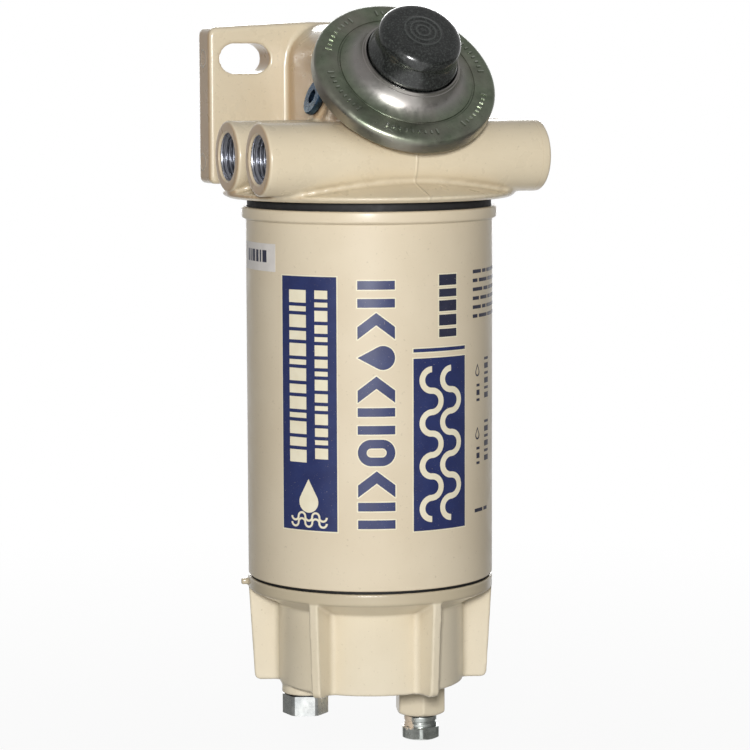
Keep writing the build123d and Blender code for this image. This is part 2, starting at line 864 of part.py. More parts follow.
def drain_valve():
    top = bowl_foot_z - drain_boss_height - drain_seal_thickness
    collar_foot = top - drain_collar_height
    head_foot = collar_foot - drain_head
    head = hexagon(drain_flats, head_foot, collar_foot, drain_turn, hex_chamfer, hex_chamfer / 2)
    collar = rod(drain_collar_radius, collar_foot - 1, top)
    groove_top = top - drain_groove_drop
    groove_foot = groove_top - drain_groove_width
    collar -= ring(drain_collar_radius + 1, drain_collar_radius - drain_groove_depth, groove_foot, groove_top)
    shank = rod(drain_shank / 2, top - 1, top + drain_shank_length)
    bore = rod(drain_bore / 2, head_foot - 1, top + drain_shank_length - drain_bore_end)
    return Pos(drain_x, drain_y, 0) * (head + collar + shank - bore)


def film_radius(level):
    # Prints lie in layers: keylines and small print first, then the fields, then marks on the fields
    return can_radius + print_lift + level * (print_film + print_lift)


def film(angles, drops, level=0, margin=0.0):
    # A patch of film on the canister between two angles and two drops below its rim
    low = film_radius(level)
    top = rim_z - drops[0] + margin
    foot = rim_z - drops[1] - margin
    section = Plane.XZ * (Pos(low + print_film / 2, (foot + top) / 2) * Rectangle(print_film, top - foot))
    spread = math.degrees(margin / can_radius)
    patch = revolve(section, Axis.Z, angles[1] - angles[0] + 2 * spread)
    return Pos(0, can_y, 0) * Rot(0, 0, angles[0] - spread - 90) * patch


def stamped(shape, angle, drop, level=0):
    # A flat drawing wrapped on the canister with its middle at an angle and a drop below the rim
    low = film_radius(level)
    shell = ring(low + print_film, low, can_foot_z, rim_z)
    across = Plane(origin=(0, 0, rim_z - drop), x_dir=(0, 1, 0), z_dir=(1, 0, 0))
    cutter = extrude(across * shape, can_radius * 2)
    return Pos(0, can_y, 0) * Rot(0, 0, angle - 90) * (shell & cutter)


def gathered(pieces):
    return Compound([solid for piece in pieces for solid in piece.solids()])


def dashes(angles, drops, lengths, gap, level, margin=0.0):
    # A column of bars one above another, cycling through the given lengths
    pieces = []
    top = drops[0]
    number = 0
    while top + lengths[number % len(lengths)] <= drops[1]:
        foot = top + lengths[number % len(lengths)]
        pieces.append(film(angles, (top, foot), level, margin))
        top = foot + gap
        number += 1
    return pieces


def words(angles, drops, lengths, gap, level, first=0):
    # A row of bars side by side, cycling through the given lengths in degrees
    pieces = []
    left = angles[0]
    number = first
    while left + lengths[number % len(lengths)] <= angles[1]:
        right = left + lengths[number % len(lengths)]
        pieces.append(film((left, right), drops, level))
        left = right + gap
        number += 1
    return pieces


def drop_shape(size):
    # A plain falling drop: a round foot drawn up to a point
    radius = size * drop_roundness
    centre = -size * 0.5 + radius
    tip = size * 0.5
    touch = math.acos(radius / (tip - centre))
    side_x = radius * math.sin(touch)
    side_y = centre + radius * math.cos(touch)
    edges = ThreePointArc((-side_x, side_y), (0, centre - radius), (side_x, side_y))
    edges += Polyline((side_x, side_y), (0, tip), (-side_x, side_y))
    return make_face(edges)


def chevron_shape(width, height, stroke):
    half = width / 2
    low = -height / 2
    high = height / 2
    points = [(-half, low), (0, high - stroke), (half, low)]
    points += [(half, low + stroke), (0, high), (-half, low + stroke)]
    return make_face(Polyline(*points, close=True))


def wave_shape(radius, stroke, bends):
    # Half rings one above another, opening left and right in turn
    outer = radius + stroke / 2
    shape = Sketch()
    for bend in range(bends):
        side = 1 if bend % 2 else -1
        half_ring = Circle(outer) - Circle(radius - stroke / 2)
        half_ring &= Pos(side * outer / 2, 0) * Rectangle(outer, 2 * outer)
        shape += Pos(0, (2 * bend - bends + 1) * radius) * half_ring
    return shape


def centre_mark_shapes():
    # Plain drops, rings, bars and arrowheads, each with its drop below the rim
    low, high = centre_marks_drop
    width = math.radians(centre_marks[1] - centre_marks[0]) * can_radius
    pitch = (high - low) / centre_mark_count
    height = pitch - centre_mark_gap
    stroke = centre_mark_stroke
    ring_mark = SlotOverall(width, height) - SlotOverall(width - 2 * stroke, height - 2 * stroke)
    bars = Pos(0, (height - stroke) / 2) * Rectangle(width, stroke)
    bars += Pos(0, (stroke - height) / 2) * Rectangle(width, stroke)
    arrow = chevron_shape(width, height, stroke * math.sqrt(2))
    drop = Rot(0, 0, 90) * drop_shape(width)
    patterns = [bars, arrow, drop, arrow, bars, ring_mark, arrow, bars]
    middles = [low + pitch * (place + 0.5) for place in range(centre_mark_count)]
    return list(zip(patterns, middles))


def centre_mark_films():
    middle = sum(centre_marks) / 2
    return gathered(stamped(shape, middle, drop, 1) for shape, drop in centre_mark_shapes())


def blue_panels():
    panels = [film(left_panel, left_panel_drop, 1), film(right_panel, right_panel_drop, 1)]
    return gathered(panels + [film(right_panel, bar_drop, 1)])


def short_marks(level, margin=0.0):
    return dashes(short_mark, short_mark_drop, short_dashes, short_dash_gap, level, margin)


def print_keylines():
    # The pale borders of the blue fields and marks
    middle = sum(centre_marks) / 2
    fields = [(left_panel, left_panel_drop), (right_panel, right_panel_drop), (right_panel, bar_drop)]
    borders = [film(angles, drops, 0, keyline) for angles, drops in fields]
    borders += [stamped(offset(shape, keyline), middle, drop) for shape, drop in centre_mark_shapes()]
    return gathered(borders + short_marks(0, keyline))


def panel_marks():
    # Pale marks on the blue fields: two columns of bars, a drop over water, and two waves
    marks = []
    for angles, lengths in zip(left_columns, left_dashes):
        marks += dashes(angles, left_column_drop, lengths, left_dash_gap, 2)
    marks.append(stamped(drop_shape(left_icon_size), *left_icon, 2))
    ripple = Rot(0, 0, 90) * wave_shape(left_icon_wave_radius, left_icon_wave_stroke, left_icon_wave_bends)
    for drop in left_icon_wave_drops:
        marks.append(stamped(ripple, left_icon[0], drop, 2))
    wave = wave_shape(right_wave_radius, right_wave_stroke, right_wave_bends)
    pair = Pos(-right_wave_shift, 0) * wave + Pos(right_wave_shift, 0) * wave
    marks.append(stamped(pair, sum(right_panel) / 2, sum(right_panel_drop) / 2, 2))
    return gathered(marks)


def dark_print():
    # Lines of small print as plain bars, small ringed drops, and the marks on the sticker
    marks = short_marks(1)
    for line in range(fine_lines):
        top = fine_line_drop + line * fine_line_pitch
        marks += words(fine_print, (top, top + fine_line_height), fine_words, fine_word_gap, 0, line)
    foot_line = (fine_foot_line_drop, fine_foot_line_drop + fine_line_height)
    marks += words(fine_foot_words, foot_line, fine_words, fine_word_gap, 0)
    outline = drop_shape(fine_drop_size) - drop_shape(fine_drop_size - 2 * fine_drop_stroke)
    group_pitch = fine_drop_marks[1] - fine_drop_marks[0]
    for group, drop in enumerate(fine_drop_marks):
        marks.append(stamped(outline, fine_drop_angle, drop))
        for angles, drops in zip(fine_tick_columns, fine_tick_drops):
            lower = [value + group * group_pitch for value in drops]
            marks += dashes(angles, lower, fine_ticks, fine_tick_gap, 0)
    spread = [math.degrees(length / can_radius) for length in sticker_bars]
    gap = math.degrees(sticker_bar_gap / can_radius)
    marks += words(sticker_mark, sticker_mark_drop, spread, gap, 1)
    return gathered(marks)


def part_sticker():
    return film(sticker, sticker_drop)


parts = {
    "head_casting": head_casting,
    "threaded_nipple": threaded_nipple,
    "port_plugs": port_plugs,
    "check_ball": check_ball,
    "check_cage": check_cage,
    "check_spring": check_spring,
    "pump_cover": pump_cover,
    "pump_diaphragm": pump_diaphragm,
    "diaphragm_plate": diaphragm_plate,
    "pump_return_spring": pump_return_spring,
    "primer_knob": primer_knob,
    "vent_seal": vent_seal,
    "vent_plug": vent_plug,
    "head_gasket": head_gasket,
    "can_shell": can_shell,
    "element_top_plate": element_top_plate,
    "element_grommet": element_grommet,
    "upper_end_cap": upper_end_cap,
    "pleated_media": pleated_media,
    "centre_tube": centre_tube,
    "lower_end_cap": lower_end_cap,
    "element_spring": element_spring,
    "bowl_thread_ring": bowl_thread_ring,
    "print_keylines": print_keylines,
    "blue_panels": blue_panels,
    "centre_marks": centre_mark_films,
    "panel_marks": panel_marks,
    "dark_print": dark_print,
    "part_sticker": part_sticker,
    "bowl_seal": bowl_seal,
    "bowl_casting": bowl_casting,
    "probe_plug_washer": probe_plug_washer,
    "probe_plug": probe_plug,
    "drain_seal": drain_seal,
    "drain_valve": drain_valve,
}

for name, make in parts.items():
    export_step(make(), f"parts/{name}.step")
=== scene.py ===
import json
import math

import bmesh
import bpy
import numpy as np
from mathutils import Matrix, Vector


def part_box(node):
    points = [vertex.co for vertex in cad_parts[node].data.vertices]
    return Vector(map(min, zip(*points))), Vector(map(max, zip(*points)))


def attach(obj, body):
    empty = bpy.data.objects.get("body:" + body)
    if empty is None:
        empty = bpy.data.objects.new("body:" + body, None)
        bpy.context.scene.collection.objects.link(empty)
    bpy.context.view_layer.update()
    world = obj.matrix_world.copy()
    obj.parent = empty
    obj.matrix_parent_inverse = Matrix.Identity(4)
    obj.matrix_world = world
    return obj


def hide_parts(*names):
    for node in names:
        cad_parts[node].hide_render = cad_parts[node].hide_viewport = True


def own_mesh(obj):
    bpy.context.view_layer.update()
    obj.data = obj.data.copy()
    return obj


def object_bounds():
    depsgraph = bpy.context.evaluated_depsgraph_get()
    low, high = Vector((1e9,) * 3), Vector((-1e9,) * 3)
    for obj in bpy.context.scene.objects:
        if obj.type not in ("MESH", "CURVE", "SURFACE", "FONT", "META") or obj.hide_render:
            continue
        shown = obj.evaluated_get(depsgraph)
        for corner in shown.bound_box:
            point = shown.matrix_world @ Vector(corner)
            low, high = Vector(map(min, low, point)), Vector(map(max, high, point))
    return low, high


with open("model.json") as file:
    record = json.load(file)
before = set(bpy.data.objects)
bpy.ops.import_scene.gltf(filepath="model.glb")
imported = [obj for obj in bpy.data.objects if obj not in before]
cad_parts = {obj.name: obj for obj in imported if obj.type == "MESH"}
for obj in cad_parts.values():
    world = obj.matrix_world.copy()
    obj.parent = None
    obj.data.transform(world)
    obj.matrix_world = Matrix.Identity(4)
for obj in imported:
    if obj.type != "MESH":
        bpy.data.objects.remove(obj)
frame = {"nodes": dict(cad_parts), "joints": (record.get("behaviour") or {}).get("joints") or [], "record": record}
cad_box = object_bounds()

# Sizes are in millimetres and turned into metres with MM; meshes are in metres in the part's frame
MM = 0.001
UP = Vector((0, 0, 1))
LEFT = Vector((-1, 0, 0))
nodes = frame["nodes"]
joints = {joint["name"]: joint for joint in frame["joints"]}
mounts = {mount["name"]: mount for mount in frame["record"]["mounts"]}

# Camera at the photograph's viewing angle
CAMERA_AZIMUTH = -22.1
CAMERA_DISTANCE = 1300.0
CAMERA_RISE = 46.5
CAMERA_PITCH = 6.30
CAMERA_YAW = 0.105
CAMERA_ROLL = -0.2
CAMERA_LENS = 142.27

# Lamps: azimuth, elevation, distance, side, and how bright each makes a white surface that faces it
LAMPS = {
    "key": (-23.5, 10.5, 1400.0, 130.0, 0.73),
    "back": (158.0, 10.0, 3000.0, 1400.0, 0.34),
}
AMBIENT = 0.20

# What polished surfaces mirror: a dim studio, and the white sweep that runs under and behind the object
STUDIO_SHINE = 0.34
SWEEP_SPREAD = (44.0, 26.0)
FLOOR_GAP = 55.0
FLOOR_SIZE = 6000.0
FLOOR_FADE = (250.0, 900.0)
FLOOR_WHITE = (0.92, 1.0)

# Softened castings: voxel, radius of rounded edges, radius of filled corners
HEAD_SOFT = (0.92, 0.9, 3.0)
BOWL_SOFT = (0.66, 0.4, 0.5)
SOFT_PASSES = 90
SOFT_RATE = 0.5
SLIDE_RATE = 0.3
NORMALS_EVERY = 5
SMOOTH_PAIR = (0.5, -0.53)
SMOOTH_PAIRS = 6
MOST_TRIANGLES = 190000

# Where castings stay sharp: near the seal face, round the port mouths and at the bowl's neck
SEAL_CLEAR = 5.5
SEAL_BLEND = 2.0
MOUTH_CLEAR = 1.6
MOUTH_DEPTH_CLEAR = 3.0
NECK_CLEAR = 0.6
NECK_BLEND = 1.0

# Ports
PORT_RADIUS = 10.3
PORT_DEPTH = 17.4
PORT_CHAMFER = 0.8
TUBE_RADIUS = 15.5
TUBE_END_ROUND = 1.5
TUBE_SKIN = 0.03
RIM_SLEEVE = 4.0
RIM_TUCK = (0.5, 0.2)
THREAD_PITCH = 1.81
THREAD_DEPTH = 0.95
THREAD_FLANK = 2.5
THREAD_START = 1.2
THREAD_ROWS = 12
LINER_WALL = 0.45
LINER_GAP = 0.15
BORE_REACH = 1.2

# Marks of the casting die: rings on the plate's left side, and the parting seam down the front tube
EJECTOR_POINTS = [(-55.0, -7.0, 0.1), (-55.0, -5.4, -46.3)]
EJECTOR_RADIUS = 3.6
EJECTOR_WIDTH = 0.7
EJECTOR_DEPTH = 0.5
SEAM_X = 1.7
SEAM_WIDTH = 0.8
SEAM_DEPTH = 0.25
SEAM_FRONT = -105.0
SEAM_FADE = 2.0

# Pump disc and knob, with heights along the pump's axis
COVER_RADIUS = 40.0
COVER_LOW = -2.0
COVER_FACE = 5.4
COVER_SHEET = 1.2
COVER_SHOULDER = 2.7
COVER_LIP = 4.5
GROOVE_RADIUS = 30.2
GROOVE_WIDTH = 1.0
GROOVE_DEPTH = 0.4
TICK_RADIUS = 34.4
TICK_GROUPS = 6
TICKS_IN_GROUP = 9
TICK_PITCH = 4.6
TICK_SIZE = (3.0, 1.0, 0.8)
TICK_SHORT = 0.65
TICK_BEVEL = 0.2
DOME_FOOT = 29.0
DOME_RISE = 8.8
DOME_MOUTH = 19.9
DOME_LIP = 0.9
DOME_BULGE = -1.8
DOME_SHEET = (0.8, 0.9)
KNOB_RADIUS = 19.5
KNOB_FOOT = 11.0
KNOB_BAND = 15.6
KNOB_BAND_STEP = (0.5, 0.8)
KNOB_WAIST = 20.5
KNOB_WAIST_DEPTH = 1.9
KNOB_WAIST_ROUND = 12.0
KNOB_CREASE = 23.2
KNOB_CREASE_DEPTH = 2.05
KNOB_CROWN = 24.0
KNOB_CROWN_DEPTH = 1.6
KNOB_CROWN_ROUND = 4.8
KNOB_TOP = 29.75
KNOB_BOSS = 5.0
KNOB_WALL = 3.2
KNOB_ROOF = 5.0
KNOB_RINGS = 4
KNOB_RING_FIRST = 0.55
KNOB_RING_PITCH = 2.45
KNOB_RING_RISE = 0.5
KNOB_RING_STEP = 0.1

# Canister, from its rim down
CAN_RADIUS = 54.0
CAN_SHEET = 0.8
CAN_LIP = 50.0
CAN_SEAT = 53.8
CAN_SEAT_DROP = 1.8
BEAD_RADIUS = 55.8
BEAD_HEIGHT = 4.8
BEAD_BLEND = 0.8

# Bowl, from its top down
BOWL_NECK = 10.0
BOWL_RIM = 5.4

# Hexagon pieces
PROBE_FLATS = 18.2
PROBE_HEAD = 8.6
PROBE_CHAMFER = 0.35
PROBE_SHANK = 13.0
PROBE_SHANK_LENGTH = 9.0
PROBE_TURN = 37.5
DRAIN_FLATS = 16.2
DRAIN_HEAD = 5.6
DRAIN_CHAMFER = 1.1
DRAIN_COLLAR = 7.3
DRAIN_COLLAR_HEIGHT = 4.8
DRAIN_GROOVE_DROP = 2.3
DRAIN_GROOVE_WIDTH = 0.8
DRAIN_GROOVE_DEPTH = 0.4
DRAIN_SHANK = 12.0
DRAIN_SHANK_LENGTH = 14.0
DRAIN_BORE = 4.4
DRAIN_BORE_END = 3.0
DRAIN_TURN = 10.4
OVERSPRAY_SIDE = -112.0


# Places

def joint_point(name):
    return Vector(joints[name]["pos_m"])


def mount_point(name):
    return Vector(mounts[name]["pos_m"])


def toward(azimuth, elevation=0.0):
    # A level direction turned from the front towards +X, then raised
    azimuth, elevation = math.radians(azimuth), math.radians(elevation)
    return Vector((math.sin(azimuth) * math.cos(elevation), -math.cos(azimuth) * math.cos(elevation),
                   math.sin(elevation)))


def facing(point, direction, side=Vector((1, 0, 0))):
    # A place whose Z runs along the direction and whose X leans to the side
    z = Vector(direction).normalized()
    x = (side - z * side.dot(z)).normalized()
    turn = Matrix((x, z.cross(x), z)).transposed()
    return Matrix.Translation(point) @ turn.to_4x4()


def seat(node, direction, side=Vector((1, 0, 0))):
    # The place at the middle of a node's low end along a direction
    turn = facing(Vector(), direction, side)
    back = np.array(turn.to_3x3())
    points = np.array([vertex.co for vertex in nodes[node].data.vertices]) @ back
    low, high = points.min(0), points.max(0)
    middle = Vector(((low[0] + high[0]) / 2, (low[1] + high[1]) / 2, low[2]))
    return Matrix.Translation(turn @ middle) @ turn


def raised(place, height):
    return place @ Matrix.Translation((0, 0, height * MM))


can_rim = Matrix.Translation(joint_point("element_turn"))
can_length = (can_rim.translation.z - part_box("can_shell")[0].z) / MM
axis_foot = Vector((can_rim.translation.x, can_rim.translation.y, 0))
pump_out = -Vector(joints["primer_press"]["axis"])
pump = raised(seat("pump_cover", pump_out), -COVER_LOW)
ports = {name: mount_point(name) for name in ("inlet_port", "outlet_port")}
port_face_x = cad_box[0].x
bowl_band_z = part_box("bowl_casting")[1].z / MM - BOWL_NECK - BOWL_RIM
drain_place = seat("drain_valve", UP)


# Mesh helpers

replaced_nodes = set()


def piece_of(name, mesh, body, *replaced):
    piece = bpy.data.objects.new(name, mesh)
    bpy.context.scene.collection.objects.link(piece)
    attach(piece, body)
    if replaced:
        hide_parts(*replaced)
        replaced_nodes.update(replaced)
    return piece


def cleaned(mesh, sharp=30.0):
    # Welds poles and seams, turns the normals outward and keeps edges sharper than an angle
    edit = bmesh.new()
    edit.from_mesh(mesh)
    bmesh.ops.remove_doubles(edit, verts=edit.verts, dist=1e-7)
    bmesh.ops.recalc_face_normals(edit, faces=edit.faces)
    edit.to_mesh(mesh)
    edit.free()
    mesh.shade_smooth()
    mesh.set_sharp_from_angle(angle=math.radians(sharp))
    return mesh


def rounded(corners, arc_steps=6, share=0.49):
    # A half outline whose corners are (radius, height) or (radius, height, rounding); a rounding takes at
    # most a share of the runs beside it
    points = []
    for index, corner in enumerate(corners):
        here = Vector(corner[:2])
        size = corner[2] if len(corner) > 2 else 0
        if size == 0 or index in (0, len(corners) - 1):
            points.append(here)
            continue
        back = Vector(corners[index - 1][:2]) - here
        ahead = Vector(corners[index + 1][:2]) - here
        half = back.angle(ahead) / 2
        reach = min(size / math.tan(half), share * back.length, share * ahead.length)
        spoke = reach * math.tan(half)
        centre = here + (back.normalized() + ahead.normalized()).normalized() * spoke / math.sin(half)
        start = here + back.normalized() * reach - centre
        end = here + ahead.normalized() * reach - centre
        sweep = start.angle_signed(end)
        for step in range(arc_steps + 1):
            turn = Matrix.Rotation(-sweep * step / arc_steps, 2)
            points.append(centre + turn @ start)
    return points


def turned(name, outline, place, steps=192, start=0.0, shape=None, closed=False, sharp=30.0):
    # A surface of revolution about a place's Z, whose radius a shape may change by angle
    radii, heights = np.array([tuple(point) for point in outline]).T
    angles = np.radians(start) + np.arange(steps) * 2 * np.pi / steps
    radius = np.repeat(radii[:, None], steps, 1)
    if shape:
        radius = shape(angles[None, :], radius, heights[:, None])
    points = np.stack([radius * np.cos(angles), radius * np.sin(angles),
                       np.repeat(heights[:, None], steps, 1)], -1).reshape(-1, 3) * MM
    points = points @ np.array(place.to_3x3()).T + np.array(place.translation)
    count = len(radii)
    rows = np.arange(count if closed else count - 1)[:, None]
    columns = np.arange(steps)[None, :]
    above = (rows + 1) % count
    after = (columns + 1) % steps
    faces = np.stack([rows * steps + columns, rows * steps + after, above * steps + after,
                      above * steps + columns], -1).reshape(-1, 4)
    mesh = bpy.data.meshes.new(name)
    mesh.from_pydata(points.tolist(), [], faces.tolist())
    return cleaned(mesh, sharp)


def hexagonal(flats, corner_cut=0.4):
    # A shape that trims a turned piece to a hexagon with slightly rounded corners
    def shape(angles, radius, heights):
        flat = flats / 2 / np.cos((angles - angles.min()) % (np.pi / 3) - np.pi / 6)
        return np.minimum(radius, np.minimum(flat, flats / math.sqrt(3) - corner_cut))
    return shape


def chamfered(flats, foot, top, chamfer_foot=0.0, chamfer_top=0.0, rows=8):
    # The outline of a hexagon bar turned down at its ends, with rows close enough to draw the curved edges
    reach = flats / math.sqrt(3)
    points = []
    for step in range(rows + 1):
        rise = chamfer_foot * step / rows
        points.append((reach - (chamfer_foot - rise) * math.sqrt(3), foot + rise))
    for step in range(rows + 1):
        rise = chamfer_top * step / rows
        points.append((reach - rise * math.sqrt(3), top - chamfer_top + rise))
    return [Vector(point) for point in points]


def copied_mesh(node):
    edit = bmesh.new()
    edit.from_mesh(nodes[node].data)
    bmesh.ops.remove_doubles(edit, verts=edit.verts, dist=1e-6)
    mesh = bpy.data.meshes.new(node + "_copy")
    edit.to_mesh(mesh)
    edit.free()
    return mesh


def applied(mesh, kind, **settings):
    # The mesh with one modifier applied
    holder = bpy.data.objects.new("holder", mesh)
    bpy.context.scene.collection.objects.link(holder)
    modifier = holder.modifiers.new("change", kind)
    for key, value in settings.items():
        setattr(modifier, key, value)
    graph = bpy.context.evaluated_depsgraph_get()
    graph.update()
    result = bpy.data.meshes.new_from_object(holder.evaluated_get(graph))
    bpy.data.objects.remove(holder)
    return result


def vertex_normals(points, quads):
    cross = np.cross(points[quads[:, 2]] - points[quads[:, 0]], points[quads[:, 3]] - points[quads[:, 1]])
    normals = np.zeros_like(points)
    for axis in range(3):
        normals[:, axis] = np.bincount(quads.ravel(), np.repeat(cross[:, axis], 4), len(points))
    return normals / np.maximum(np.linalg.norm(normals, axis=1), 1e-12)[:, None]


def softened(node, voxel, edge_radius, corner_radius, free, shaping=None):
    # A cast copy of a node: its sharp edges worn to one radius and its inner corners filled to another
    mesh = applied(copied_mesh(node), "REMESH", mode="VOXEL", voxel_size=voxel * MM)
    count = len(mesh.vertices)
    points = np.empty(count * 3)
    mesh.vertices.foreach_get("co", points)
    points = points.reshape(-1, 3) / MM
    edges = np.empty(len(mesh.edges) * 2, int)
    mesh.edges.foreach_get("vertices", edges)
    edges = edges.reshape(-1, 2)
    quads = np.empty(len(mesh.loops), int)
    mesh.loops.foreach_get("vertex_index", quads)
    quads = quads.reshape(-1, 4)
    ends = np.concatenate([edges[:, 0], edges[:, 1]])
    others = np.concatenate([edges[:, 1], edges[:, 0]])
    valence = np.bincount(ends, minlength=count)
    rate = free(points)[:, None]

    def pull(field):
        total = np.stack([np.bincount(ends, field[others, axis], count) for axis in range(3)], 1)
        return total / valence[:, None] - field

    flat_edge = voxel ** 2 / 4 / edge_radius
    flat_corner = voxel ** 2 / 4 / corner_radius
    for number in range(SOFT_PASSES):
        if number % NORMALS_EVERY == 0:
            normals = vertex_normals(points, quads)
        drift = pull(points)
        lift = (drift * normals).sum(1)[:, None]
        tangent = drift - normals * lift
        fill = np.maximum(0, lift - flat_corner)
        wear = np.minimum(0, lift + flat_edge)
        points += rate * (SOFT_RATE * normals * (fill + wear) + SLIDE_RATE * tangent)
    for strength in SMOOTH_PAIR * SMOOTH_PAIRS:
        points += strength * pull(points)
    if shaping:
        points = shaping(points)
    mesh.vertices.foreach_set("co", (points * MM).ravel())
    mesh.update()
    triangles = 2 * len(mesh.polygons)
    if triangles > MOST_TRIANGLES:
        mesh = applied(mesh, "DECIMATE", ratio=MOST_TRIANGLES / triangles)
    mesh.shade_smooth()
    return mesh


# Node trees and materials

def srgb(red, green, blue):
    def linear(value):
        value /= 255
        return value / 12.92 if value <= 0.04045 else ((value + 0.055) / 1.055) ** 2.4
    return (linear(red), linear(green), linear(blue), 1.0)


class Tree:
    # A node tree with short calls that add nodes and join them
    def __init__(self, tree):
        self.tree = tree

    def node(self, kind, **values):
        node = self.tree.nodes.new(kind)
        for key, value in values.items():
            if key in node.inputs:
                node.inputs[key].default_value = value
            else:
                setattr(node, key, value)
        return node

    def link(self, source, target):
        self.tree.links.new(source, target)

    def put(self, value, target):
        # Sets a plain value on a socket, or links another node's output to it
        if isinstance(value, bpy.types.NodeSocket):
            self.link(value, target)
        else:
            target.default_value = value

    def math(self, operation, first, second=0.0):
        node = self.node("ShaderNodeMath", operation=operation)
        self.put(first, node.inputs[0])
        self.put(second, node.inputs[1])
        return node.outputs[0]

    def ramp(self, source, low, high, start, end):
        # Maps a source between two levels to two values
        ramp = self.node("ShaderNodeMapRange", clamp=True)
        for key, value in (("From Min", low), ("From Max", high), ("To Min", start), ("To Max", end)):
            ramp.inputs[key].default_value = value
        self.link(source, ramp.inputs["Value"])
        return ramp.outputs["Result"]

    def mixed(self, factor, first, second):
        mix = self.node("ShaderNodeMix", data_type="RGBA")
        self.put(factor, mix.inputs[0])
        self.put(first, mix.inputs[6])
        self.put(second, mix.inputs[7])
        return mix.outputs[2]

    def blended(self, factor, first, second):
        mix = self.node("ShaderNodeMixShader")
        self.put(factor, mix.inputs[0])
        self.link(first.outputs[0], mix.inputs[1])
        self.link(second.outputs[0], mix.inputs[2])
        return mix


class Finish(Tree):
    # A principled material with noise in its colour, roughness and bump, in millimetres of the piece
    def __init__(self, name, metallic=0.0, coat=0.0, coat_roughness=0.1, specular=0.5):
        self.material = bpy.data.materials.new(name)
        self.material.use_nodes = True
        super().__init__(self.material.node_tree)
        self.shader = self.tree.nodes["Principled BSDF"]
        self.shader.inputs["Metallic"].default_value = metallic
        self.shader.inputs["Coat Weight"].default_value = coat
        self.shader.inputs["Coat Roughness"].default_value = coat_roughness
        self.shader.inputs["Specular IOR Level"].default_value = specular
        self.place = self.node("ShaderNodeTexCoord").outputs["Object"]
        self.normal = None

    def noise(self, size, detail=3.0, roughness=0.5):
        # Noise whose blotches are about a size in millimetres
        noise = self.node("ShaderNodeTexNoise", Scale=1.0 / (size * MM), Detail=detail, Roughness=roughness)
        self.link(self.place, noise.inputs["Vector"])
        return noise.outputs["Fac"]

    def along(self, direction, point=Vector((0, 0, 0))):
        # How far along a direction a place is from a point, in millimetres
        across = self.node("ShaderNodeVectorMath", operation="DOT_PRODUCT")
        self.link(self.place, across.inputs[0])
        across.inputs[1].default_value = Vector(direction) / MM
        return self.math("SUBTRACT", across.outputs["Value"], Vector(direction).dot(point) / MM)

    def far(self, point):
        # How far a place is from a point, in millimetres
        away = self.node("ShaderNodeVectorMath", operation="DISTANCE")
        self.link(self.place, away.inputs[0])
        away.inputs[1].default_value = point
        return self.math("MULTIPLY", away.outputs["Value"], 1 / MM)

    def facing(self, direction):
        # How squarely the surface faces a direction
        square = self.node("ShaderNodeVectorMath", operation="DOT_PRODUCT")
        self.link(self.node("ShaderNodeNewGeometry").outputs["Normal"], square.inputs[0])
        square.inputs[1].default_value = direction
        return square.outputs["Value"]

    def colour(self, source):
        self.link(source, self.shader.inputs["Base Color"])

    def rough(self, source, low, high):
        self.link(self.ramp(source, 0.3, 0.7, low, high), self.shader.inputs["Roughness"])

    def bump(self, source, height, strength=1.0):
        bump = self.node("ShaderNodeBump", Strength=strength, Distance=height * MM)
        self.link(source, bump.inputs["Height"])
        if self.normal:
            self.link(self.normal, bump.inputs["Normal"])
        self.normal = bump.outputs["Normal"]
        self.link(self.normal, self.shader.inputs["Normal"])

    def crevices(self, reach):
        # 0 in a corner or gap narrower than a reach in millimetres, and 1 in the open
        shade = self.node("ShaderNodeAmbientOcclusion", samples=6, Distance=reach * MM)
        return shade.outputs["AO"]

    def ring(self, point, radius, width):
        # 1 on a circle about a point and 0 away from it, in millimetres
        off = self.math("ABSOLUTE", self.math("SUBTRACT", self.far(point), radius))
        return self.ramp(off, 0.0, width, 1.0, 0.0)


def enamel(name, base, shade, grime_and_shade, roughness, peel, coat, recess_shade, corner_shadow_line):
    # Stoved enamel: faint blotches, dirt specks and orange peel, with painted shade in corners and deep recesses
    # and a painted shadow line in tight corners
    finish = Finish(name, coat=coat, coat_roughness=0.2)
    body = finish.mixed(finish.ramp(finish.noise(38.0, 4.0, 0.55), 0.35, 0.68, 0.0, 1.0), base, shade)
    body = finish.mixed(finish.ramp(finish.noise(1.3, 2.0), 0.66, 0.78, 0.0, 0.25), body, grime_and_shade)
    # Painted shade in corners, in deep recesses and as a dark line in tight corners
    body = finish.mixed(finish.ramp(finish.crevices(5.0), 0.25, 0.8, 0.55, 0.0), body, grime_and_shade)
    body = finish.mixed(finish.ramp(finish.crevices(16.0), 0.15, 0.6, recess_shade, 0.0), body, grime_and_shade)
    body = finish.mixed(finish.ramp(finish.crevices(1.6), 0.35, 0.8, corner_shadow_line, 0.0), body, srgb(92, 76, 54))
    finish.rough(finish.noise(9.0, 3.0), roughness - 0.06, roughness + 0.08)
    finish.bump(finish.noise(1.6, 3.0, 0.6), peel)
    finish.bump(finish.noise(14.0, 2.0), peel * 3)
    return finish, body


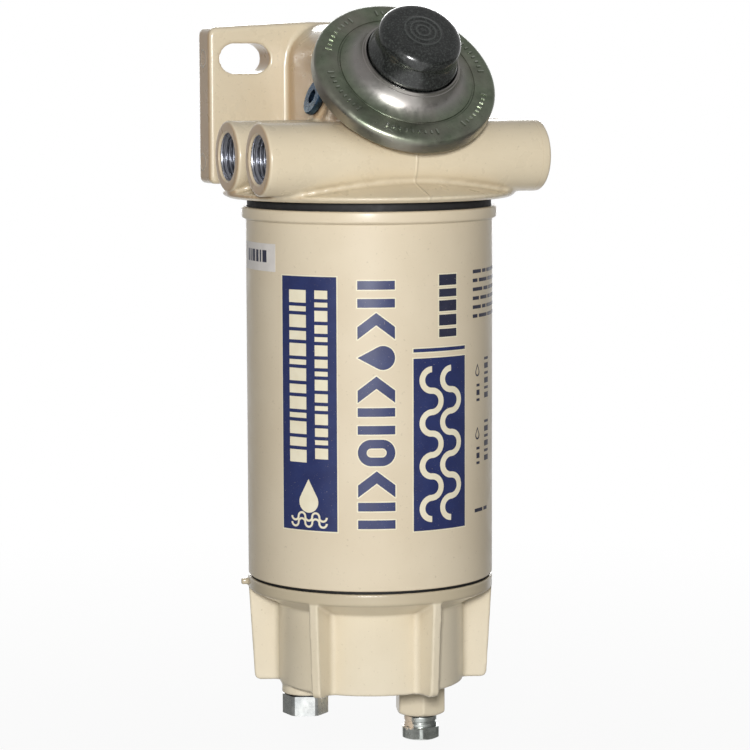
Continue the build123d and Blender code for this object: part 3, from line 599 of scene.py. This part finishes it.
def cast_paint():
    # Faces that look to the left get painted shade, and the die's marks show in its bump
    finish, body = enamel("cast_paint", srgb(231, 217, 189), srgb(225, 210, 181), srgb(138, 122, 94),
                          roughness=0.30, peel=0.03, coat=0.45, recess_shade=0.6, corner_shadow_line=0.3)
    left_shade = finish.ramp(finish.facing(LEFT), 0.6, 0.95, 0.0, 0.9)
    body = finish.mixed(left_shade, body, srgb(190, 160, 124))
    # The ejector rings are also painted paler, a painted highlight on their rims
    for point in EJECTOR_POINTS:
        ring = finish.ring(Vector(point) * MM, EJECTOR_RADIUS, EJECTOR_WIDTH)
        body = finish.mixed(finish.math("MULTIPLY", ring, 0.4), body, srgb(244, 234, 208))
        finish.bump(ring, EJECTOR_DEPTH)
    off = finish.math("ABSOLUTE", finish.math("SUBTRACT", finish.along((1, 0, 0)), SEAM_X))
    front = finish.ramp(finish.along((0, 1, 0)), SEAM_FRONT - SEAM_FADE, SEAM_FRONT, 1.0, 0.0)
    seam = finish.math("MULTIPLY", finish.ramp(off, 0.0, SEAM_WIDTH, 1.0, 0.0), front)
    finish.bump(seam, SEAM_DEPTH)
    finish.colour(body)
    return finish.material


def can_paint(base, shade):
    # The canister's coat is smoother and duller, with no painted shade in deep recesses and no painted shadow line
    # in corners
    finish, body = enamel("can_paint", base, shade, srgb(150, 134, 104),
                          roughness=0.42, peel=0.012, coat=0.2, recess_shade=0.0, corner_shadow_line=0.0)
    finish.colour(body)
    return finish.material


def bowl_paint():
    # The bowl's paint is darker from the foot of its rim band upward
    finish, body = enamel("bowl_paint", srgb(235, 223, 198), srgb(229, 216, 189), srgb(150, 130, 96),
                          roughness=0.34, peel=0.025, coat=0.4, recess_shade=0.75, corner_shadow_line=0.8)
    band = finish.ramp(finish.along(UP), bowl_band_z - 0.6, bowl_band_z + 0.2, 0.0, 0.85)
    finish.colour(finish.mixed(band, body, srgb(196, 182, 154)))
    return finish.material


def zinc(name, base, shade, roughness, specks=0.2, scratch=0.01, coat=0.0):
    # Plated steel: clouded plating, dark specks, painted shade in corners and fine scratches
    finish = Finish(name, metallic=1.0, coat=coat, coat_roughness=0.35)
    body = finish.mixed(finish.ramp(finish.noise(7.0, 5.0, 0.6), 0.35, 0.65, 0.0, 1.0), base, shade)
    spots = finish.ramp(finish.noise(0.7, 3.0, 0.7), 0.58, 0.72, 0.0, specks)
    body = finish.mixed(spots, body, srgb(40, 42, 40))
    # Painted shade in corners
    body = finish.mixed(finish.ramp(finish.crevices(2.0), 0.3, 0.9, 0.6, 0.0), body, srgb(44, 44, 42))
    finish.rough(finish.noise(3.0, 4.0, 0.6), roughness - 0.08, roughness + 0.12)
    finish.bump(finish.noise(0.5, 3.0, 0.6), scratch)
    return finish, body


def metal(*settings, **more):
    finish, body = zinc(*settings, **more)
    finish.colour(body)
    return finish.material


def oversprayed(name, base, shade, roughness, paint_colour):
    # Zinc whose collar caught paint on its left when the bowl was sprayed
    finish, body = zinc(name, base, shade, roughness)
    point = drain_place.translation
    ragged = finish.math("MULTIPLY", finish.math("SUBTRACT", finish.noise(1.6, 4.0, 0.7), 0.5), 7.0)
    left = finish.math("ADD", finish.along(toward(OVERSPRAY_SIDE), point), ragged)
    high = finish.math("ADD", finish.along(UP, point), ragged)
    painted = finish.math("MULTIPLY", finish.ramp(left, 3.2, 4.2, 0.0, 1.0),
                          finish.ramp(high, DRAIN_HEAD - 0.8, DRAIN_HEAD, 0.0, 1.0))
    finish.colour(finish.mixed(painted, body, paint_colour))
    finish.link(finish.math("SUBTRACT", 1.0, painted), finish.shader.inputs["Metallic"])
    return finish.material


def disc_steel():
    # Passivated steel, olive on the flat ring, paler and pinkish on the dome as tint and painted highlight, and
    # brown on the rim as a painted reflection
    finish, body = zinc("cover_steel", srgb(150, 160, 138), srgb(124, 134, 114), 0.34,
                        specks=0.45, scratch=0.015, coat=0.3)
    height = finish.along(pump_out, pump.translation)
    dome_tint_and_highlight = finish.ramp(height, COVER_FACE + 0.2, COVER_FACE + 3.0, 0.0, 0.85)
    body = finish.mixed(dome_tint_and_highlight, body, srgb(190, 185, 182))
    rim_reflection = finish.ramp(height, COVER_FACE - 2.4, COVER_FACE - 0.8, 0.6, 0.0)
    body = finish.mixed(rim_reflection, body, srgb(152, 148, 138))
    tint = finish.ramp(finish.noise(22.0, 3.0), 0.45, 0.65, 0.0, 0.35)
    finish.colour(finish.mixed(tint, body, srgb(176, 160, 158)))
    return finish.material


def rubber(name, base, shade, roughness=0.62, reach=2.0):
    # A matt soft surface, cloudy, with painted shade in its gaps
    finish = Finish(name, specular=0.35)
    body = finish.mixed(finish.ramp(finish.noise(4.0, 4.0), 0.35, 0.65, 0.0, 1.0), base, shade)
    gap_shade = finish.ramp(finish.crevices(reach), 0.3, 0.85, 0.9, 0.0)
    finish.colour(finish.mixed(gap_shade, body, srgb(8, 8, 8)))
    finish.rough(finish.noise(2.0), roughness - 0.08, roughness + 0.1)
    finish.bump(finish.noise(0.6, 2.0), 0.03)
    return finish.material


def knob_plastic(base, dust_and_glint, roughness):
    # Glossy black, scuffed all over, with painted highlights on the crests of the crown's rings and painted shade
    # in its gaps
    finish = Finish("knob_plastic", coat=0.8, coat_roughness=0.1)
    scuffs = finish.ramp(finish.noise(0.9, 3.0, 0.8), 0.48, 0.66, 0.0, 0.35)
    body = finish.mixed(scuffs, base, dust_and_glint)
    far = finish.far(pump @ Vector((0, 0, KNOB_TOP * MM)))
    crest = finish.math("PINGPONG", finish.math("SUBTRACT", far, KNOB_RING_FIRST), KNOB_RING_PITCH / 2)
    crown = finish.ramp(far, 8.2, 8.8, 1.0, 0.0)
    # Painted highlights on the ring crests
    crest_highlight = finish.math("MULTIPLY", finish.ramp(crest, 0.1, 0.4, 0.35, 0.0), crown)
    body = finish.mixed(crest_highlight, body, dust_and_glint)
    gap_shade = finish.ramp(finish.crevices(2.5), 0.3, 0.9, 0.6, 0.0)
    finish.colour(finish.mixed(gap_shade, body, srgb(12, 12, 12)))
    finish.rough(finish.noise(3.0, 4.0, 0.6), roughness - 0.06, roughness + 0.12)
    finish.bump(finish.noise(0.9, 3.0), 0.02)
    return finish.material


def ink(name, base, shade, under, wear=0.5, roughness=0.36):
    # Screen print: even ink with faint mottling and pinholes that show the paint
    finish = Finish(name, coat=0.2, coat_roughness=0.25)
    body = finish.mixed(finish.ramp(finish.noise(6.0, 4.0), 0.35, 0.65, 0.0, 1.0), base, shade)
    finish.colour(finish.mixed(finish.ramp(finish.noise(0.5, 2.0, 0.6), 0.70, 0.76, 0.0, wear), body, under))
    finish.rough(finish.noise(5.0), roughness - 0.05, roughness + 0.08)
    finish.bump(finish.noise(1.6, 3.0, 0.6), 0.012)
    return finish.material


cream = srgb(229, 215, 189)
materials = {
    "cast_paint": cast_paint(),
    "can_paint": can_paint(cream, srgb(223, 208, 181)),
    "bowl_paint": bowl_paint(),
    "cover_steel": disc_steel(),
    "knob_plastic": knob_plastic(srgb(13, 16, 15), srgb(98, 104, 100), 0.24),
    "black_rubber": rubber("black_rubber", srgb(36, 36, 37), srgb(44, 44, 45)),
    "thread_zinc": metal("thread_zinc", srgb(186, 188, 196), srgb(170, 173, 184), 0.3,
                         specks=0.05, scratch=0.003),
    "worn_steel": metal("worn_steel", srgb(206, 210, 198), srgb(160, 168, 150), 0.3),
    "zinc_steel": metal("zinc_steel", srgb(234, 236, 234), srgb(208, 212, 212), 0.27),
    "vent_zinc": metal("vent_zinc", srgb(96, 124, 152), srgb(62, 86, 116), 0.28, specks=0.5),
    "drain_zinc": oversprayed("drain_zinc", srgb(222, 226, 222), srgb(160, 166, 162), 0.28,
                              srgb(226, 208, 186)),
    "spring_steel": metal("spring_steel", srgb(150, 150, 152), srgb(130, 130, 132), 0.3),
    "sealing_washer": rubber("sealing_washer", srgb(34, 34, 34), srgb(48, 47, 45), 0.5),
    "filter_paper": rubber("filter_paper", srgb(170, 190, 178), srgb(150, 172, 160), 0.8),
    "blue_ink": ink("blue_ink", srgb(38, 50, 100), srgb(34, 44, 92), cream),
    "pale_ink": ink("pale_ink", srgb(244, 236, 210), srgb(238, 228, 200), cream),
    "dark_ink": ink("dark_ink", srgb(38, 40, 62), srgb(46, 48, 70), cream),
    "white_label": ink("white_label", srgb(232, 227, 222), srgb(222, 217, 212), srgb(180, 172, 166),
                       wear=0.3, roughness=0.55),
}

# Nodes whose finish isn't that of their material slot
own_finish = {"vent_plug": "vent_zinc"}
slot_of = {part["node"]: part["material_slot"] for part in frame["record"]["subparts"]}


def dressed(piece, slot, material=None):
    # Gives a new piece its slot, and the slot's material or another
    piece.data.materials.clear()
    piece.data.materials.append(materials[material or slot])
    return piece


# Castings

def head_free(points):
    # Where the head may soften: not at the seal face nor the port mouths
    seal = joint_point("element_turn").z / MM
    free = np.clip((points[:, 2] - seal - SEAL_CLEAR) / SEAL_BLEND, 0, 1)
    for point in ports.values():
        across = np.hypot(points[:, 1] - point.y / MM, points[:, 2] - point.z / MM)
        near_end = np.abs(points[:, 0]) > -port_face_x / MM - PORT_DEPTH - MOUTH_DEPTH_CLEAR
        free[near_end & (across < PORT_RADIUS + MOUTH_CLEAR)] = 0
    return free


def head_shaping(points):
    # Opens the left ports a little for their thread liners
    for point in ports.values():
        centre = np.array([point.y, point.z]) / MM
        across = points[:, 1:] - centre
        radius = np.linalg.norm(across, axis=1)
        near_end = points[:, 0] < port_face_x / MM + PORT_DEPTH + 1
        bore = near_end & (np.abs(radius - PORT_RADIUS) < BORE_REACH)
        grown = (PORT_RADIUS + LINER_WALL + LINER_GAP) / radius[bore]
        points[bore, 1:] = across[bore] * grown[:, None] + centre
    return points


def bowl_free(points):
    # Where the bowl may soften: below its neck and its seal groove
    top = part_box("bowl_casting")[1].z / MM
    return np.clip((top - BOWL_NECK - NECK_CLEAR - points[:, 2]) / NECK_BLEND, 0, 1)


head = piece_of("head_cast_body", softened("head_casting", *HEAD_SOFT, head_free, head_shaping), "head",
                "head_casting")
dressed(head, "cast_paint")
bowl = piece_of("bowl_cast_body", softened("bowl_casting", *BOWL_SOFT, bowl_free), "bowl", "bowl_casting")
dressed(bowl, "bowl_paint")


# Ports: painted end rings and bright thread liners

def thread(angles, radius, heights):
    # A shape that raises a helical crest inside a bore and fades it out at both ends
    phase = (heights / THREAD_PITCH + angles / (2 * np.pi)) % 1.0
    crest = THREAD_DEPTH * np.clip(THREAD_FLANK * (0.5 - np.abs(phase - 0.5)), 0, 1)
    start = np.clip((heights - THREAD_START) / THREAD_PITCH, 0, 1)
    end = np.clip((PORT_DEPTH - heights) / THREAD_PITCH, 0, 1)
    return np.where(radius < PORT_RADIUS + 0.1, radius - crest * start * end, radius)


rows = np.linspace(PORT_CHAMFER, PORT_DEPTH, int(PORT_DEPTH / THREAD_PITCH * THREAD_ROWS))
liner = [(PORT_RADIUS + LINER_WALL, PORT_DEPTH), (PORT_RADIUS + LINER_WALL, PORT_CHAMFER)]
liner += [(PORT_RADIUS, row) for row in rows]
rim = rounded([
    (PORT_RADIUS, PORT_CHAMFER + 0.3), (PORT_RADIUS, PORT_CHAMFER),
    (PORT_RADIUS + PORT_CHAMFER, -TUBE_SKIN, 0.25), (TUBE_RADIUS + TUBE_SKIN, -TUBE_SKIN, TUBE_END_ROUND),
    (TUBE_RADIUS + TUBE_SKIN, RIM_SLEEVE), (TUBE_RADIUS - RIM_TUCK[0], RIM_SLEEVE + RIM_TUCK[1]),
])
for name, point in ports.items():
    for end, side in (("left", -1), ("right", 1)):
        mouth = facing(Vector((-side * port_face_x, point.y, point.z)), side * LEFT, UP)
        mesh = turned(name + "_rim_" + end, rim, mouth, steps=160)
        dressed(piece_of(name + "_rim_" + end, mesh, "head"), "cast_paint")
        if end == "left":
            mesh = turned(name + "_thread", liner, mouth, steps=120, shape=thread, closed=True, sharp=50.0)
            dressed(piece_of(name + "_thread", mesh, "head"), "zinc_steel", "thread_zinc")


# Pump disc and knob

def dome_arc(start, end, bulge, steps=24):
    # A bowed run between two points, pushed out by a bulge at its middle
    start, end = Vector(start), Vector(end)
    across = Vector((end.y - start.y, start.x - end.x)).normalized()
    return [start.lerp(end, step / steps) + across * bulge * 4 * step / steps * (1 - step / steps)
            for step in range(steps + 1)]


dome_top = COVER_FACE + DOME_RISE
dome = dome_arc((DOME_FOOT, COVER_FACE + 0.1), (DOME_MOUTH + DOME_LIP, dome_top - 0.05), DOME_BULGE)
outline = rounded([
    (COVER_RADIUS - COVER_LIP, COVER_LOW + COVER_SHEET), (COVER_RADIUS - COVER_LIP, COVER_LOW, 0.5),
    (COVER_RADIUS, COVER_LOW, 0.6), (COVER_RADIUS, COVER_FACE, COVER_SHOULDER),
    (GROOVE_RADIUS, COVER_FACE, 0.2), (GROOVE_RADIUS - 0.2, COVER_FACE - GROOVE_DEPTH, 0.2),
    (GROOVE_RADIUS - GROOVE_WIDTH, COVER_FACE - GROOVE_DEPTH, 0.2), tuple(dome[0]),
], 8)
outline += dome[1:]
outline += rounded([
    tuple(dome[-1]), (DOME_MOUTH, dome_top, 0.5), (DOME_MOUTH, dome_top - COVER_SHEET, 0.4),
    (DOME_MOUTH + 1.6, dome_top - COVER_SHEET - 0.3),
])[1:]
outline += [point - Vector(DOME_SHEET) for point in reversed(dome)]
outline += [Vector(point) for point in (
    (COVER_RADIUS - COVER_SHOULDER, COVER_FACE - COVER_SHEET),
    (COVER_RADIUS - COVER_SHEET, COVER_FACE - COVER_SHOULDER),
    (COVER_RADIUS - COVER_SHEET, COVER_LOW + COVER_SHEET))]
cover = turned("pump_disc", outline, pump, steps=256, closed=True, sharp=40.0)
dressed(piece_of("pump_disc", cover, "head", "pump_cover"), "cover_steel")


def raised_ticks(name):
    # Groups of small raised bars round the disc's flat ring, the outer ones of each group longer
    edit = bmesh.new()
    out = Matrix.Translation((TICK_RADIUS * MM, 0, COVER_FACE * MM))
    for number in range(TICK_GROUPS * TICKS_IN_GROUP):
        group, tick = divmod(number, TICKS_IN_GROUP)
        angle = math.radians(360 / TICK_GROUPS * group + TICK_PITCH * tick)
        length = TICK_SIZE[0] * (1.0 if tick in (0, TICKS_IN_GROUP - 1) else TICK_SHORT)
        spot = pump @ Matrix.Rotation(angle, 4, "Z") @ out
        size = Matrix.Diagonal((length, TICK_SIZE[1], TICK_SIZE[2], 1.0))
        bmesh.ops.create_cube(edit, size=MM, matrix=spot @ size)
    bmesh.ops.bevel(edit, geom=edit.edges[:], offset=TICK_BEVEL * MM, segments=2, affect="EDGES")
    mesh = bpy.data.meshes.new(name)
    edit.to_mesh(mesh)
    edit.free()
    return cleaned(mesh, 50.0)


dressed(piece_of("disc_ticks", raised_ticks("disc_ticks"), "head"), "cover_steel", "worn_steel")

inner = KNOB_RADIUS - KNOB_WALL
roof = KNOB_TOP - KNOB_ROOF
outline = [
    (KNOB_BOSS, KNOB_FOOT + 0.2), (KNOB_BOSS, roof), (inner, roof), (inner, KNOB_FOOT, 0.3),
    (KNOB_RADIUS, KNOB_FOOT, 0.5), (KNOB_RADIUS, KNOB_BAND, 0.4),
    (KNOB_RADIUS - KNOB_BAND_STEP[0], KNOB_BAND + KNOB_BAND_STEP[1], 0.5),
    (KNOB_RADIUS - KNOB_WAIST_DEPTH, KNOB_WAIST, KNOB_WAIST_ROUND),
    (KNOB_RADIUS - KNOB_CREASE_DEPTH, KNOB_CREASE, 0.2), (KNOB_RADIUS - KNOB_CROWN_DEPTH, KNOB_CROWN, 0.5),
    (KNOB_RADIUS - KNOB_CROWN_DEPTH, KNOB_TOP, KNOB_CROWN_ROUND),
]
height = KNOB_TOP
for number in reversed(range(KNOB_RINGS)):
    ridge = KNOB_RING_FIRST + number * KNOB_RING_PITCH
    outline += [(ridge + KNOB_RING_PITCH / 2, height, 0.6), (ridge, height + KNOB_RING_RISE, 0.6)]
    height += KNOB_RING_STEP
outline.append((0.0, outline[-1][1]))
knob = turned("primer_cap", rounded(outline, 8, 0.8), pump, steps=192, sharp=45.0)
dressed(piece_of("primer_cap", knob, "primer", "primer_knob"), "knob_plastic")


# Canister

outline = rounded([
    (CAN_SEAT, 0), (BEAD_RADIUS, 0, 1.4), (BEAD_RADIUS, -BEAD_HEIGHT, 1.0),
    (CAN_RADIUS, -BEAD_HEIGHT - BEAD_BLEND, 0.6), (CAN_RADIUS, -can_length, 0.7), (CAN_LIP, -can_length),
    (CAN_LIP, CAN_SHEET - can_length), (CAN_RADIUS - CAN_SHEET, CAN_SHEET - can_length),
    (CAN_RADIUS - CAN_SHEET, -CAN_SEAT_DROP), (CAN_SEAT, -CAN_SEAT_DROP),
])
can = turned("canister_body", outline, can_rim, steps=288, closed=True)
dressed(piece_of("canister_body", can, "element", "can_shell"), "can_paint")


# Hexagon pieces

def shank_outline(foot, radius, length, lead=0.8):
    # A shank with a tapered lead, closed at its end
    top = foot + length
    return [(radius, foot), (radius, top - lead), (radius - lead, top), (0, top)]


outline = [(0, 0)] + chamfered(PROBE_FLATS, 0, PROBE_HEAD, PROBE_CHAMFER, 0.3)
outline += shank_outline(PROBE_HEAD, PROBE_SHANK / 2, PROBE_SHANK_LENGTH)
probe = turned("probe_hexagon", outline, seat("probe_plug", UP), steps=180, start=PROBE_TURN,
               shape=hexagonal(PROBE_FLATS), sharp=22.0)
dressed(piece_of("probe_hexagon", probe, "bowl", "probe_plug"), "zinc_steel")

collar_top = DRAIN_HEAD + DRAIN_COLLAR_HEIGHT
groove_top = collar_top - DRAIN_GROOVE_DROP
groove_foot = groove_top - DRAIN_GROOVE_WIDTH
groove_floor = DRAIN_COLLAR - DRAIN_GROOVE_DEPTH
shank_top = collar_top + DRAIN_SHANK_LENGTH
bore = DRAIN_BORE / 2
outline = [(bore, 0.4), (bore + 0.4, 0)]
outline += chamfered(DRAIN_FLATS, 0, DRAIN_HEAD, DRAIN_CHAMFER, DRAIN_CHAMFER / 2)
outline += rounded([
    (DRAIN_COLLAR, DRAIN_HEAD), (DRAIN_COLLAR, groove_foot, 0.3), (groove_floor, groove_foot, 0.2),
    (groove_floor, groove_top, 0.2), (DRAIN_COLLAR, groove_top, 0.3), (DRAIN_COLLAR, collar_top, 0.4),
    (DRAIN_SHANK / 2, collar_top), (DRAIN_SHANK / 2, shank_top, 0.8), (bore, shank_top),
    (bore, shank_top - DRAIN_BORE_END),
])
drain = turned("drain_hexagon", outline, drain_place, steps=180, start=DRAIN_TURN,
               shape=hexagonal(DRAIN_FLATS), closed=True, sharp=22.0)
dressed(piece_of("drain_hexagon", drain, "drain", "drain_valve"), "zinc_steel", "drain_zinc")


# Springs

def pressed_spring(name, node):
    # A copy of a spring in spring steel that takes the place of its node, with its own mesh
    mesh = cleaned(copied_mesh(node), 50.0)
    spring = dressed(piece_of(name, mesh, "head", node), "spring_steel")
    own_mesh(spring)


pressed_spring("pump_spring_coil", "pump_return_spring")
pressed_spring("check_spring_coil", "check_spring")


# CAD pieces that keep their shape

for name, node in nodes.items():
    if name not in replaced_nodes:
        for slot in node.material_slots:
            slot.material = materials[own_finish.get(name, slot_of[name])]


# Camera, lamps, world and floor

def aimed(place, view, up):
    # The matrix of a camera or lamp that looks along a direction
    z = -view.normalized()
    x = up.cross(z).normalized()
    turn = Matrix((x, z.cross(x), z)).transposed()
    return Matrix.Translation(place) @ turn.to_4x4()


def placed(name, data, matrix):
    # An object that isn't part of the model, at a matrix
    thing = bpy.data.objects.new(name, data)
    bpy.context.scene.collection.objects.link(thing)
    thing.matrix_world = matrix
    return thing


camera_data = bpy.data.cameras.new("camera")
camera_data.lens = CAMERA_LENS
camera_data.sensor_width = 36.0
camera_data.clip_end = 20.0
out = toward(CAMERA_AZIMUTH)
sideways = Vector((-out.y, out.x, 0))
yaw, pitch, roll = (math.radians(value) for value in (CAMERA_YAW, CAMERA_PITCH, CAMERA_ROLL))
level = -out * math.cos(yaw) + sideways * math.sin(yaw)
right = level.cross(UP).normalized()
view = level * math.cos(pitch) - UP * math.sin(pitch)
up = right.cross(view)
eye = axis_foot + out * CAMERA_DISTANCE * MM + UP * (ports["inlet_port"].z + CAMERA_RISE * MM)
camera = placed("camera", camera_data, aimed(eye, view, up * math.cos(roll) - right * math.sin(roll)))
bpy.context.scene.camera = camera

middle = axis_foot + UP * (cad_box[0].z + cad_box[1].z) / 2
for name, (azimuth, elevation, distance, side, level) in LAMPS.items():
    lamp_data = bpy.data.lights.new(name, "AREA")
    lamp_data.shape = "SQUARE"
    lamp_data.size = side * MM
    lamp_data.energy = level * (math.pi * distance * MM) ** 2
    out = toward(azimuth, elevation)
    placed(name, lamp_data, aimed(middle + out * distance * MM, -out, UP))


sweep_edges = [math.cos(math.radians(spread)) for spread in SWEEP_SPREAD]


def studio_world():
    # The camera sees white, mirrors see the backdrop and a dim studio, and the rest is soft light
    world = bpy.data.worlds.new("studio")
    bpy.context.scene.world = world
    world.use_nodes = True
    world.node_tree.nodes.clear()
    sky = Tree(world.node_tree)
    rays = sky.node("ShaderNodeLightPath").outputs
    along = sky.node("ShaderNodeVectorMath", operation="DOT_PRODUCT")
    sky.link(sky.node("ShaderNodeTexCoord").outputs["Generated"], along.inputs[0])
    along.inputs[1].default_value = toward(CAMERA_AZIMUTH + 180)
    backdrop = sky.ramp(along.outputs["Value"], *sweep_edges, STUDIO_SHINE, 1.0)
    mirrored = sky.math("MAXIMUM", rays["Is Glossy Ray"], rays["Is Transmission Ray"])
    strength = sky.math("MAXIMUM", rays["Is Camera Ray"], sky.math("MULTIPLY", mirrored, backdrop))
    light = sky.node("ShaderNodeBackground", Color=(1, 1, 1, 1))
    sky.link(sky.math("MAXIMUM", strength, AMBIENT), light.inputs["Strength"])
    sky.link(light.outputs[0], sky.node("ShaderNodeOutputWorld").inputs[0])


def pale_floor():
    # A matt floor that glows to white for the camera away from the object, and keeps its shadow near it
    half = FLOOR_SIZE / 2 * MM
    corners = [(-half, -half, 0), (half, -half, 0), (half, half, 0), (-half, half, 0)]
    mesh = bpy.data.meshes.new("floor")
    mesh.from_pydata(corners, [], [(0, 1, 2, 3)])
    foot = UP * (cad_box[0].z - FLOOR_GAP * MM)
    placed("floor", mesh, Matrix.Translation(axis_foot + foot))
    ground = bpy.data.materials.new("pale_floor")
    ground.use_nodes = True
    ground.node_tree.nodes.clear()
    mesh.materials.append(ground)
    tree = Tree(ground.node_tree)
    rays = tree.node("ShaderNodeLightPath").outputs
    place = tree.node("ShaderNodeTexCoord").outputs["Object"]
    far = tree.node("ShaderNodeVectorMath", operation="LENGTH")
    tree.link(place, far.inputs[0])
    fade = tree.ramp(far.outputs["Value"], FLOOR_FADE[0] * MM, FLOOR_FADE[1] * MM, *FLOOR_WHITE)
    way = tree.node("ShaderNodeVectorMath", operation="NORMALIZE")
    tree.link(place, way.inputs[0])
    along = tree.node("ShaderNodeVectorMath", operation="DOT_PRODUCT")
    tree.link(way.outputs["Vector"], along.inputs[0])
    along.inputs[1].default_value = toward(CAMERA_AZIMUTH)
    sweep = tree.ramp(tree.math("ABSOLUTE", along.outputs["Value"]), *sweep_edges, 0.0, 1.0)
    mirrored = tree.math("MAXIMUM", rays["Is Glossy Ray"], rays["Is Transmission Ray"])
    matt = tree.node("ShaderNodeBsdfDiffuse")
    colour = tree.mixed(rays["Is Camera Ray"], srgb(176, 175, 172), srgb(240, 240, 238))
    tree.link(colour, matt.inputs["Color"])
    glow = tree.node("ShaderNodeEmission", Strength=1.0)
    white = tree.math("MAXIMUM", rays["Is Camera Ray"], tree.math("MULTIPLY", mirrored, sweep))
    surface = tree.blended(tree.math("MULTIPLY", white, fade), matt, glow)
    tree.link(surface.outputs[0], tree.node("ShaderNodeOutputMaterial").inputs[0])


studio_world()
pale_floor()
bpy.context.scene.view_settings.view_transform = "Standard"
